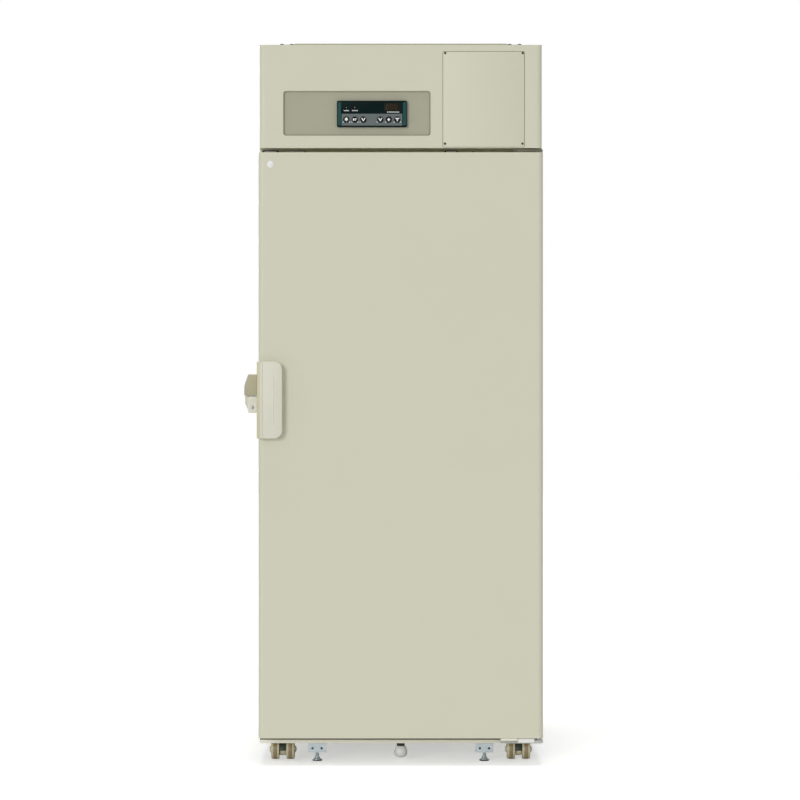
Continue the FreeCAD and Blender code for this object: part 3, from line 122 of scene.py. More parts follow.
def add(tree: bpy.types.NodeTree, kind: str, inputs: dict[str | int, Feed] | None = None,
        **options: str | bool | bpy.types.NodeTree) -> bpy.types.Node:
    """Adds a shader node.

    Args:
        tree: The tree that it goes into.
        kind: Its type, without the word ShaderNode.
        inputs: A value, or the output that feeds it, for each input.
        options: The node's own settings.

    Returns:
        The new node.
    """
    node = tree.nodes.new(f"ShaderNode{kind}")
    for option, value in options.items():
        setattr(node, option, value)
    feed(node, inputs or {})
    return node


class Effects:
    """Shader node groups that several finishes share, each built once."""

    @staticmethod
    def start(name: str, inputs: dict[str, str], output: tuple[str, str]) -> tuple[bpy.types.NodeTree,
                                                                                 bpy.types.Node, bpy.types.Node]:
        """Makes an empty group with named sockets.

        Args:
            name: The group's name.
            inputs: Each input's name and kind, such as {"Scale": "Float"}.
            output: The output's name and kind.

        Returns:
            The new group with its input node and its output node.
        """
        tree = bpy.data.node_groups.new(name, "ShaderNodeTree")
        for socket, kind in inputs.items():
            tree.interface.new_socket(socket, in_out="INPUT", socket_type=f"NodeSocket{kind}")
        tree.interface.new_socket(output[0], in_out="OUTPUT", socket_type=f"NodeSocket{output[1]}")
        return tree, tree.nodes.new("NodeGroupInput"), tree.nodes.new("NodeGroupOutput")

    @staticmethod
    @cache
    def mottle() -> bpy.types.NodeTree:
        """Cloudy change between a colour and its tint.

        Returns:
            The group, which puts out a colour.
        """
        inputs = {"Vector": "Vector", "Colour": "Color", "Tint": "Color", "Scale": "Float", "Amount": "Float"}
        tree, source, sink = Effects.start("Mottle", inputs, ("Colour", "Color"))
        given = source.outputs
        noise = add(tree, "TexNoise", {"Vector": given["Vector"], "Scale": given["Scale"], "Detail": 5.0,
                                       "Roughness": 0.62})
        spread = add(tree, "MapRange", {"Value": noise.outputs["Fac"], "From Min": 0.35, "From Max": 0.68})
        amount = add(tree, "Math", {0: spread.outputs["Result"], 1: given["Amount"]}, operation="MULTIPLY")
        mix = add(tree, "Mix", {"Factor": amount.outputs["Value"]}, data_type="RGBA")
        feed(mix, {6: given["Colour"], 7: given["Tint"]})
        feed(sink, {"Colour": mix.outputs[2]})
        return tree

    @staticmethod
    @cache
    def smudge() -> bpy.types.NodeTree:
        """Wiped and handled patches that change how a surface shines.

        Returns:
            The group, which puts out a roughness.
        """
        inputs = {"Vector": "Vector", "Roughness": "Float", "Swing": "Float", "Scale": "Float"}
        tree, source, sink = Effects.start("Smudge", inputs, ("Roughness", "Float"))
        given = source.outputs
        warp = add(tree, "TexNoise", {"Vector": given["Vector"], "Scale": 3.0})
        bent = add(tree, "VectorMath", {0: warp.outputs["Color"], 1: (0.25, 0.25, 0.25), 2: given["Vector"]},
                   operation="MULTIPLY_ADD")
        noise = add(tree, "TexNoise", {"Vector": bent.outputs["Vector"], "Scale": given["Scale"], "Detail": 6.0})
        centre = add(tree, "Math", {0: noise.outputs["Fac"], 1: 0.5}, operation="SUBTRACT")
        swing = add(tree, "Math", {0: centre.outputs["Value"], 1: given["Swing"], 2: given["Roughness"]},
                    operation="MULTIPLY_ADD", use_clamp=True)
        feed(sink, {"Roughness": swing.outputs["Value"]})
        return tree

    @staticmethod
    @cache
    def dust() -> bpy.types.NodeTree:
        """Fine dust that gathers near the floor and on faces that look up.

        Returns:
            The group, which puts out a mask.
        """
        inputs = {"Position": "Vector", "Normal": "Vector", "Level": "Float", "Amount": "Float"}
        tree, source, sink = Effects.start("Dust", inputs, ("Mask", "Float"))
        given = source.outputs
        place = add(tree, "SeparateXYZ", {"Vector": given["Position"]})
        facing = add(tree, "SeparateXYZ", {"Vector": given["Normal"]})
        low = add(tree, "MapRange", {"Value": place.outputs["Z"], "From Min": given["Level"], "From Max": 0.0})
        up = add(tree, "MapRange", {"Value": facing.outputs["Z"], "From Min": 0.6, "To Max": 0.6})
        either = add(tree, "Math", {0: low.outputs["Result"], 1: up.outputs["Result"]}, operation="MAXIMUM")
        noise = add(tree, "TexNoise", {"Vector": given["Position"], "Scale": 60.0, "Detail": 8.0})
        patchy = add(tree, "Math", {0: either.outputs["Value"], 1: noise.outputs["Fac"]}, operation="MULTIPLY")
        amount = add(tree, "Math", {0: patchy.outputs["Value"], 1: given["Amount"]}, operation="MULTIPLY",
                     use_clamp=True)
        feed(sink, {"Mask": amount.outputs["Value"]})
        return tree

    @staticmethod
    @cache
    def relief(grain: Grain) -> bpy.types.NodeTree:
        """The small relief of one kind of surface.

        Args:
            grain: The kind of surface.

        Returns:
            The group, which puts out a height.
        """
        inputs = {"Vector": "Vector", "Scale": "Float"}
        tree, source, sink = Effects.start(grain.value, inputs, ("Height", "Float"))
        stretch = {Grain.BRUSHED: (0.02, 1.0, 1.0), Grain.ROLLED: (1.0, 0.03, 1.0), Grain.TURNED: (1.0, 1.0, 0.04)}
        squeeze = add(tree, "VectorMath", {0: source.outputs["Vector"], 1: stretch.get(grain, (1.0, 1.0, 1.0))},
                      operation="MULTIPLY")
        shared = {"Vector": squeeze.outputs["Vector"], "Scale": source.outputs["Scale"]}
        if grain in (Grain.SPANGLE, Grain.CELLS):
            cells = add(tree, "TexVoronoi", shared, feature="F1" if grain is Grain.CELLS else "SMOOTH_F1")
            feed(sink, {"Height": cells.outputs["Distance"]})
            return tree
        details = {Grain.ORANGE_PEEL: 1.0, Grain.MOULDED: 4.0, Grain.FROST: 10.0}
        noise = add(tree, "TexNoise", {**shared, "Detail": details.get(grain, 3.0),
                                       "Roughness": 0.75 if grain is Grain.FROST else 0.5})
        feed(sink, {"Height": noise.outputs["Fac"]})
        return tree


@dataclass(frozen=True)
class Finish:
    """A painted, moulded or metal surface.

    Colours are screen colours from 0 to 255, and grain and patches are sizes in metres.
    """

    name: str
    colour: Colour
    tint: Colour
    roughness: float = 0.45
    swing: float = 0.12
    metallic: float = 0.0
    grain: Grain = Grain.MOULDED
    grain_size: float = 0.0012
    depth: float = 0.00002
    patch: float = 0.12
    mottle: float = 0.5
    dust_level: float = 0.0
    dust: float = 0.0
    dust_colour: Colour = (150, 142, 122)
    coat: float = 0.0
    subsurface: float = 0.0
    specular: float = 0.5

    def material(self) -> bpy.types.Material:
        """Builds the finish once.

        Returns:
            The finish as a material.
        """
        name = f"{self.name}_finish"
        if name in bpy.data.materials:
            return bpy.data.materials[name]
        made = bpy.data.materials.new(name)
        made.use_nodes = True
        made.diffuse_color = linear(self.colour)
        tree = made.node_tree
        place = add(tree, "TexCoord").outputs["Object"]
        mottle = add(tree, "Group", node_tree=Effects.mottle())
        feed(mottle, {"Vector": place, "Colour": linear(self.colour), "Tint": linear(self.tint),
                      "Scale": 1.0 / self.patch, "Amount": self.mottle})
        smudge = add(tree, "Group", node_tree=Effects.smudge())
        feed(smudge, {"Vector": place, "Roughness": self.roughness, "Swing": self.swing, "Scale": 0.8 / self.patch})
        relief = add(tree, "Group", node_tree=Effects.relief(self.grain))
        feed(relief, {"Vector": place, "Scale": 1.0 / self.grain_size})
        bump = add(tree, "Bump", {"Height": relief.outputs["Height"], "Distance": self.depth, "Strength": 1.0})
        colour = mottle.outputs["Colour"]
        if self.dust:
            dust = add(tree, "Group", node_tree=Effects.dust())
            feed(dust, {"Position": place, "Normal": add(tree, "NewGeometry").outputs["Normal"],
                        "Level": self.dust_level, "Amount": self.dust})
            over = add(tree, "Mix", {"Factor": dust.outputs["Mask"]}, data_type="RGBA")
            feed(over, {6: colour, 7: linear(self.dust_colour)})
            colour = over.outputs[2]
        feed(tree.nodes["Principled BSDF"], {
            "Base Color": colour, "Roughness": smudge.outputs["Roughness"], "Normal": bump.outputs["Normal"],
            "Metallic": self.metallic, "Specular IOR Level": self.specular, "Coat Weight": self.coat,
            "Coat Roughness": 0.12, "Subsurface Weight": self.subsurface,
            "Subsurface Radius": (0.004, 0.003, 0.0015), "Subsurface Scale": 1.0})
        return made


@dataclass(frozen=True)
class Enamel(Finish):
    """Sprayed and baked paint with a faint orange peel."""

    roughness: float = 0.46
    swing: float = 0.1
    grain: Grain = Grain.ORANGE_PEEL
    grain_size: float = 0.0016
    depth: float = 0.000012
    patch: float = 0.35
    mottle: float = 0.6
    specular: float = 0.25


@dataclass(frozen=True)
class Moulding(Finish):
    """Moulded plastic or rubber with a fine grain."""

    roughness: float = 0.5
    swing: float = 0.1
    grain_size: float = 0.0009
    patch: float = 0.01
    specular: float = 0.25


@dataclass(frozen=True)
class Film(Finish):
    """Printed or clear film of the control panel."""

    roughness: float = 0.4
    swing: float = 0.1
    grain_size: float = 0.0005
    depth: float = 0.000004
    patch: float = 0.02
    specular: float = 0.12


@dataclass(frozen=True)
class Metal(Finish):
    """Bare or plated metal."""

    roughness: float = 0.36
    swing: float = 0.16
    metallic: float = 0.9
    grain: Grain = Grain.TURNED
    grain_size: float = 0.0006
    depth: float = 0.00001
    patch: float = 0.02
    mottle: float = 0.7


class Finishes:
    """Every finish of the freezer."""

    enamel = Enamel("cream_enamel", (203, 202, 182), (200, 199, 179), dust_level=0.11, dust=0.22)
    door = Enamel("door_enamel", (203, 202, 182), (201, 200, 180), roughness=0.45, swing=0.12, patch=0.4)
    # Darker paint of the recessed plate; on the raised platform's front edge the same colour stands for painted
    # shade.
    shade = Enamel("recess_paint", (164, 163, 143), (159, 158, 138), roughness=0.54, swing=0.08, grain_size=0.0013,
                   depth=0.00002, patch=0.08)
    # Painted shade: a dark olive for strips in the shade under the door, at the recessed plate's edge, round the
    # blank cover and in the gap over the door.
    painted_shade = Moulding("seam_shade", (108, 106, 84), (98, 96, 76), roughness=0.6, swing=0.08, grain_size=0.001,
                      depth=0.00001, patch=0.03, specular=0.2)
    liner = Enamel("liner_enamel", (224, 225, 220), (214, 216, 211), roughness=0.4, grain_size=0.0018, depth=0.000015,
                   patch=0.3, mottle=0.5, specular=0.5)
    collar = Moulding("collar_plastic", (178, 176, 140), (164, 162, 128), swing=0.08, grain_size=0.0011,
                      depth=0.00003, patch=0.08)
    panel = Film("panel_film", (4, 22, 22), (7, 28, 27), roughness=0.5, grain_size=0.0006, patch=0.03, specular=0.06)
    strip = Film("strip_film", (99, 106, 106), (93, 100, 100), roughness=0.46, depth=0.000006)
    band = Film("teal_band", (28, 72, 70), (24, 64, 63))
    key = Moulding("key_rubber", (12, 15, 16), (18, 21, 21), swing=0.14, grain_size=0.0004, patch=0.006, specular=0.1)
    legend = Film("legend_ink", (226, 229, 225), (216, 220, 216), roughness=0.55, swing=0.05, grain_size=0.0004,
                  patch=0.01, specular=0.5)
    green_lamp = Moulding("green_lamp", (96, 132, 84), (84, 120, 74), roughness=0.22, swing=0.05, grain_size=0.001,
                          depth=0.000004, coat=0.4, specular=0.5)
    amber_lamp = Moulding("amber_lamp", (176, 128, 60), (164, 116, 52), roughness=0.22, swing=0.05, grain_size=0.001,
                          depth=0.000004, coat=0.4, specular=0.5)
    glass = Film("display_glass", (20, 30, 20), (38, 20, 16), roughness=0.3, swing=0.08, grain_size=0.002,
                 depth=0.000002, patch=0.012, mottle=0.9, specular=0.08)
    segment = Film("display_segment", (62, 58, 34), (66, 34, 26), swing=0.05, grain_size=0.002, depth=0.000002,
                   patch=0.012, mottle=0.9, specular=0.1)
    handle = Moulding("handle_plastic", (212, 210, 194), (207, 205, 189), roughness=0.52, patch=0.05)
    # Painted shade: a darker copy of the handle plastic for the barrel and the base beside it, whose rounded sides
    # turn from the light.
    barrel = Moulding("shaded_barrel_plastic", (200, 195, 167), (194, 189, 161), patch=0.05)
    # Painted shade: a darker copy of the handle plastic for the catch's upper cover; the apron under it keeps the
    # plain handle plastic.
    catch = Moulding("shaded_catch_plastic", (174, 169, 140), (166, 161, 133), swing=0.12, depth=0.00003, patch=0.04)
    zinc = Metal("zinc_plate", (192, 202, 206), (168, 180, 186), roughness=0.38, swing=0.18, metallic=0.6,
                 grain=Grain.SPANGLE, grain_size=0.004, depth=0.00003, patch=0.012)
    bright = Metal("hinge_steel", (186, 187, 180), (166, 168, 162), roughness=0.4, metallic=0.35, grain=Grain.BRUSHED,
                   depth=0.00002, mottle=0.6, specular=0.3)
    screw = Metal("screw_steel", (60, 58, 54), (74, 71, 66), roughness=0.34, metallic=0.75, grain_size=0.0004,
                  patch=0.004, mottle=0.6)
    # Painted shade: near black for the bottoms of screw recesses.
    recess_shade = Moulding("screw_recess_shade", (14, 14, 13), (20, 19, 17), roughness=0.7, metallic=0.2, grain_size=0.0006,
                      depth=0.00001, specular=0.5)
    tread = Moulding("wheel_tread", (146, 132, 96), (128, 114, 80), roughness=0.44, swing=0.2, grain_size=0.0012,
                     depth=0.00006, mottle=0.8, dust_level=0.045, dust=0.35, coat=0.1, subsurface=0.25, specular=0.5)
    hub = Moulding("wheel_hub", (198, 190, 162), (180, 172, 144), roughness=0.46, swing=0.14, depth=0.00004,
                   patch=0.012, mottle=0.6, dust_level=0.045, dust=0.3, specular=0.5)
    # Painted light: a lighter copy of the cream enamel for the base's front strip, which the door's overhang shades,
    # and for the glint on the lower hinge; its dust near the floor is real dust.
    lip = Enamel("painted_light_enamel", (232, 229, 214), (226, 223, 208), patch=0.3, mottle=0.5, dust_level=0.1, dust=0.2)
    hood = Moulding("caster_hood", (34, 48, 40), (44, 58, 50), roughness=0.48, swing=0.16, grain_size=0.0008,
                    depth=0.00006, patch=0.012, mottle=0.7, dust_level=0.06, dust=0.3)
    rubber = Moulding("black_rubber", (34, 35, 33), (44, 45, 42), roughness=0.66, swing=0.12, grain_size=0.0007,
                      depth=0.00005, mottle=0.6, specular=0.5)
    seal = Moulding("door_seal", (150, 150, 140), (138, 138, 128), roughness=0.55, grain_size=0.001, depth=0.00003,
                    patch=0.05, specular=0.5)
    white = Moulding("white_plastic", (224, 224, 222), (214, 214, 211), roughness=0.4, swing=0.12, grain_size=0.0008,
                     patch=0.02, specular=0.5)
    foam = Finish("insulation_foam", (226, 210, 158), (212, 194, 138), roughness=0.9, swing=0.05, grain=Grain.CELLS,
                  grain_size=0.0016, depth=0.0002, patch=0.05, mottle=0.7)
    frosted = Metal("frosted_aluminium", (205, 210, 213), (236, 240, 243), roughness=0.4, swing=0.3, metallic=0.7,
                    grain=Grain.FROST, grain_size=0.003, depth=0.00006, patch=0.05, mottle=0.9)
    aluminium = Metal("fin_aluminium", (182, 184, 184), (164, 166, 167), grain=Grain.ROLLED, depth=0.00002,
                      mottle=0.6)
    copper = Metal("copper_tube", (176, 108, 74), (150, 92, 66), roughness=0.34, metallic=0.95, grain_size=0.001)
    machine = Enamel("machine_paint", (30, 31, 33), (38, 39, 41), roughness=0.34, swing=0.14, metallic=0.1,
                     grain_size=0.002, depth=0.00003, patch=0.04, coat=0.2, specular=0.5)
    steel = Metal("galvanised_steel", (156, 160, 162), (140, 144, 147), roughness=0.4, metallic=0.85,
                  grain=Grain.SPANGLE, grain_size=0.006, depth=0.00002, patch=0.03)
    fan = Moulding("fan_plastic", (36, 37, 40), (46, 47, 50), roughness=0.42, grain_size=0.001, depth=0.00003,
                   patch=0.02, specular=0.5)


def arc(centre: Flat, radius: float, quarter: float, steps: int = 8) -> list[Flat]:
    """The points of a quarter circle.

    Args:
        centre: The circle's middle.
        radius: Its radius.
        quarter: Where it starts, in quarter turns.
        steps: How many lines make it.

    Returns:
        The points, anticlockwise.
    """
    turns = (math.pi / 2 * (quarter + step / steps) for step in range(steps + 1))
    return [(centre[0] + radius * math.cos(turn), centre[1] + radius * math.sin(turn)) for turn in turns]


def rounded(x: Span, z: Span, radius: float, steps: int = 6) -> list[Flat]:
    """The outline of a rectangle with round corners.

    Args:
        x: The first axis's two ends.
        z: The second axis's two ends.
        radius: The corners' radius.
        steps: How many lines make each corner.

    Returns:
        The outline's points, anticlockwise.
    """
    points: list[Flat] = []
    for quarter, (cx, cz) in enumerate(((x[1], z[1]), (x[0], z[1]), (x[0], z[0]), (x[1], z[0]))):
        cx += -radius if quarter in (0, 3) else radius
        cz += -radius if quarter in (0, 1) else radius
        points += arc((cx, cz), radius, quarter, steps)
    return points


def ring(centre: Flat, radius: float, count: int = 32, start: float = 0.0) -> list[Flat]:
    """The points of a circle or regular polygon.

    Args:
        centre: Its middle.
        radius: Its radius.
        count: How many points it has.
        start: The first point's angle, in radians.

    Returns:
        The points, anticlockwise.
    """
    turns = (start + math.tau * step / count for step in range(count))
    return [(centre[0] + radius * math.cos(turn), centre[1] + radius * math.sin(turn)) for turn in turns]


def serpentine(rows: Sequence[float], half: float, bulge: float, steps: int) -> list[Flat]:
    """The middle line of a tube that runs to and fro.

    Args:
        rows: The level of each straight run.
        half: How far each run reaches to both sides.
        bulge: How far the bends stand out beyond the runs.
        steps: How many lines make each bend.

    Returns:
        Its points, each a place across and a level.
    """
    points: list[Flat] = []
    for number, row in enumerate(rows):
        side = 1.0 if number % 2 == 0 else -1.0
        points += [(-side * half, row), (side * half, row)]
        rise = 0.0 if row == rows[-1] else rows[number + 1] - row
        for turn in (math.pi * step / steps for step in range(1, steps) if rise):
            points.append((side * (half + bulge * math.sin(turn)), row + rise / 2 * (1 - math.cos(turn))))
    return points


def skin(shape: bmesh.types.BMesh, rings: Sequence[Sequence[bmesh.types.BMVert]], caps: bool = True) -> None:
    """Joins rings of points with faces.

    Args:
        shape: The mesh that holds the points.
        rings: The rings from one end to the other, where a ring of one point is a tip.
        caps: Whether the two ends are closed.
    """
    count = max(len(row) for row in rings)
    for one, other in zip(rings, rings[1:]):
        for step in range(count):
            spots = (one[step % len(one)], one[(step + 1) % len(one)], other[(step + 1) % len(other)],
                     other[step % len(other)])
            corners = tuple(dict.fromkeys(spots))
            if len(corners) > 2:
                shape.faces.new(corners)
    for end in (rings[0], rings[-1]):
        if caps and len(end) > 2:
            shape.faces.new(end)


class Form:
    """Gathers the shapes of one piece, in the cabinet's millimetres."""

    def __init__(self) -> None:
        """Starts with no shape."""
        self.mesh = bmesh.new()

    def merge(self, other: bmesh.types.BMesh, move: Matrix | None = None) -> Form:
        """Adds another mesh.

        Args:
            other: The mesh, which is freed.
            move: Where it goes, or None to leave it.

        Returns:
            This form.
        """
        if move is not None:
            bmesh.ops.transform(other, matrix=move, verts=other.verts)
        bmesh.ops.recalc_face_normals(other, faces=other.faces)
        held = bpy.data.meshes.new("held")
        other.to_mesh(held)
        other.free()
        self.mesh.from_mesh(held)
        bpy.data.meshes.remove(held)
        return self

    def block(self, x: Span, y: Span, z: Span, bevel: float = 0.0, corner: float = 0.0,
              along: Axis = Axis.Y, segments: int = 3) -> Form:
        """Adds a block with softened edges.

        Args:
            x: Its two ends along x.
            y: Its two ends along y.
            z: Its two ends along z.
            bevel: The radius of its edges.
            corner: A larger radius for the four edges along one axis.
            along: That axis.
            segments: How many faces make each rounding.

        Returns:
            This form.
        """
        shape = bmesh.new()
        bmesh.ops.create_cube(shape, size=1.0)
        middle = Vector([(low + high) / 2 for low, high in (x, y, z)])
        size = [abs(high - low) for low, high in (x, y, z)]
        place = Matrix.Translation(middle) @ Matrix.Diagonal((*size, 1.0))
        bmesh.ops.transform(shape, matrix=place, verts=shape.verts)
        if corner:
            axis = along.value
            edges = [e for e in shape.edges if abs((e.verts[0].co - e.verts[1].co)[axis]) > size[axis] * 0.9]
            bmesh.ops.bevel(shape, geom=edges, offset=corner, segments=segments * 2, profile=0.5, affect="EDGES")
        if bevel:
            edges = [e for e in shape.edges if e.calc_face_angle(0.0) > math.radians(40)]
            bmesh.ops.bevel(shape, geom=edges, offset=bevel, segments=segments, profile=0.5, affect="EDGES")
        return self.merge(shape)

    def lathe(self, profile: Sequence[Flat], centre: Point, axis: Axis = Axis.Z, steps: int = 48) -> Form:
        """Adds a turned shape.

        Args:
            profile: Radius and place along the axis for each point, from one end to the other.
            centre: The point that the places are counted from.
            axis: The axis that it is turned about.
            steps: How many flats go round.

        Returns:
            This form.
        """
        shape = bmesh.new()
        rings = []
        for radius, along in profile:
            spots = [(0.0, 0.0)] if radius < 1e-6 else ring((0.0, 0.0), radius, steps)
            rings.append([shape.verts.new((x, y, along)) for x, y in spots])
        closed = profile[0] == profile[-1]
        skin(shape, rings, caps=not closed)
        turn = {Axis.X: Matrix.Rotation(math.pi / 2, 4, "Y"), Axis.Y: Matrix.Rotation(-math.pi / 2, 4, "X"),
                Axis.Z: Matrix.Identity(4)}[axis]
        if closed:
            bmesh.ops.remove_doubles(shape, verts=shape.verts, dist=1e-5)
        return self.merge(shape, Matrix.Translation(centre) @ turn)

    @staticmethod
    def filled(curve: bpy.types.Curve, lines: Iterable[Sequence[Point]], closed: bool) -> bmesh.types.BMesh:
        """Turns lines and a curve's settings into a mesh.

        Args:
            curve: The settings, which are freed.
            lines: Each line's points.
            closed: Whether each line meets its own start.

        Returns:
            The mesh.
        """
        for line in lines:
            spline = curve.splines.new("POLY")
            spline.points.add(len(line) - 1)
            for point, spot in zip(spline.points, line):
                point.co = (*spot, 1.0)
            spline.use_cyclic_u = closed
        holder = bpy.data.objects.new(curve.name, curve)
        flat = bpy.data.meshes.new_from_object(holder)
        shape = bmesh.new()
        shape.from_mesh(flat)
        bpy.data.objects.remove(holder)
        bpy.data.curves.remove(curve)
        bpy.data.meshes.remove(flat)
        return shape

    def sheet(self, outlines: Sequence[Sequence[Flat]], depth: Span, bevel: float = 0.0,
              facing: Facing = Facing.FRONT) -> Form:
        """Adds a flat plate with the holes that its inner outlines make.

        Args:
            outlines: The outer outline and then the holes.
            depth: The plate's two faces along the axis that it faces.
            bevel: The radius of its edges.
            facing: The way in which it faces.

        Returns:
            This form.
        """
        curve = bpy.data.curves.new("outline", "CURVE")
        curve.dimensions = "2D"
        curve.fill_mode = "BOTH"
        curve.extrude = max(abs(depth[1] - depth[0]) / 2 - bevel, 0.0)
        curve.bevel_depth = bevel
        curve.bevel_resolution = 1
        curve.offset = -bevel
        shape = self.filled(curve, [[(*spot, 0.0) for spot in outline] for outline in outlines], True)
        bmesh.ops.remove_doubles(shape, verts=shape.verts, dist=1e-4)
        middle = (depth[0] + depth[1]) / 2
        columns = {
            Facing.FRONT: ((1, 0, 0), (0, 0, 1), (0, -1, 0), (0, middle, 0)),
            Facing.UP: ((1, 0, 0), (0, 1, 0), (0, 0, 1), (0, 0, middle)),
            Facing.LEFT: ((0, 1, 0), (0, 0, 1), (1, 0, 0), (middle, 0, 0)),
        }[facing]
        place = Matrix([[*(column[row] for column in columns)] for row in range(3)] + [[0, 0, 0, 1]])
        return self.merge(shape, place)

    def bar(self, points: Sequence[Point], radius: float, steps: int = 12) -> Form:
        """Adds a round bar or tube along a line of points.

        Args:
            points: The line's points.
            radius: The bar's radius.
            steps: How many flats go round it.

        Returns:
            This form.
        """
        curve = bpy.data.curves.new("line", "CURVE")
        curve.dimensions = "3D"
        curve.bevel_depth = radius
        curve.bevel_resolution = max(steps // 4 - 1, 0)
        curve.use_fill_caps = True
        return self.merge(self.filled(curve, [points], False))

    def thread(self, centre: Flat, span: Span, radius: float, depth: float, pitch: float) -> Form:
        """Adds an upright rod with a screw thread.

        Args:
            centre: The rod's axis, in x and y.
            span: The rod's two ends along z.
            radius: The radius over the thread.
            depth: The thread's depth.
            pitch: The thread's rise in one turn.

        Returns:
            This form.
        """
        shape = bmesh.new()
        steps, fine = 24, 6
        count = round((span[1] - span[0]) / pitch * fine)
        rings = []
        for level in range(count + 1):
            z = span[0] + (span[1] - span[0]) * level / count
            row = []
            for step in range(steps):
                phase = (z / pitch - step / steps) % 1.0
                reach = radius - depth * (1.0 - abs(2.0 * phase - 1.0))
                angle = math.tau * step / steps
                spot = (centre[0] + reach * math.cos(angle), centre[1] + reach * math.sin(angle), z)
                row.append(shape.verts.new(spot))
            rings.append(row)
        skin(shape, rings)
        return self.merge(shape)

    def slice(self, point: Point, normal: Point) -> Form:
        """Cuts away what lies beyond a plane and closes the cut.

        Args:
            point: A point in the plane.
            normal: The side that goes.

        Returns:
            This form.
        """
        everything = self.mesh.verts[:] + self.mesh.edges[:] + self.mesh.faces[:]
        found = bmesh.ops.bisect_plane(self.mesh, geom=everything, dist=1e-5, plane_co=point, plane_no=normal,
                                       clear_outer=True)
        edges = [item for item in found["geom_cut"] if isinstance(item, bmesh.types.BMEdge)]
        bmesh.ops.edgenet_fill(self.mesh, edges=edges)
        bmesh.ops.recalc_face_normals(self.mesh, faces=self.mesh.faces)
        return self

    def piece(self, name: str, finish: Finish, body: str = "root", replaces: Sequence[str] = (),
              slot: str = "", sharp: float = 34.0) -> bpy.types.Object:
        """Makes the piece and joins it to a body.

        Args:
            name: The piece's name.
            finish: Its finish.
            body: The body that it moves with.
            replaces: The solids that it stands for.
            slot: The record's material slot that it belongs to; not used.
            sharp: The angle in degrees over which an edge stays sharp.

        Returns:
            The new object.
        """
        for face in self.mesh.faces:
            face.smooth = True
        for edge in self.mesh.edges:
            edge.smooth = edge.calc_face_angle(0.0) < math.radians(sharp)
        bmesh.ops.transform(self.mesh, matrix=TO_FRAME, verts=self.mesh.verts)
        data = bpy.data.meshes.new(name)
        self.mesh.to_mesh(data)
        self.mesh.free()
        data.materials.append(finish.material())
        made = bpy.data.objects.new(name, data)
        bpy.context.scene.collection.objects.link(made)
        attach(made, body)
        if replaces:
            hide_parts(*replaces)
        log.info("%s rides on %s", name, body)
        return made


def dress(node: str, finish: Finish) -> None:
    """Gives a solid that stays in view its finish.

    Args:
        node: The solid's name.
        finish: Its finish.
    """
    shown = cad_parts[node]
    for slot in shown.material_slots:
        slot.material = finish.material()


def cross(centre: Flat, radius: float) -> list[Flat]:
    """The outline of a screw head's cross recess.

    Args:
        centre: The head's middle.
        radius: The head's radius.

    Returns:
        The cross's points.
    """
    far, near = radius * 0.62, radius * 0.15
    corners = [(far, -near), (far, near), (near, near), (near, far), (-near, far), (-near, near), (-far, near),
               (-far, -near), (-near, -near), (-near, -far), (near, -far), (near, -near)]
    return [(centre[0] + x, centre[1] + z) for x, z in corners]


@dataclass
class Screws:
    """A row of cross-headed screws on one face."""

    name: str
    places: Sequence[Flat]
    face: float
    radius: float = 3.25
    rise: float = -0.9
    facing: Facing = Facing.FRONT
    finish: Finish = Finishes.screw
    body: str = "root"

    def build(self) -> None:
        """Makes the heads, and near-black discs painted as the shade at the bottom of their recesses."""
        heads, shade_floors = Form(), Form()
        for place in self.places:
            outlines = [ring(place, self.radius, 28), cross(place, self.radius)]
            heads.sheet(outlines, (self.face, self.face + self.rise), 0.3, self.facing)
            shade_floors.sheet([ring(place, self.radius * 0.7, 16)], (self.face, self.face + self.rise / 4), 0.0,
                         self.facing)
        heads.piece(self.name, self.finish, self.body)
        shade_floors.piece(f"{self.name}_recesses", Finishes.recess_shade, self.body)


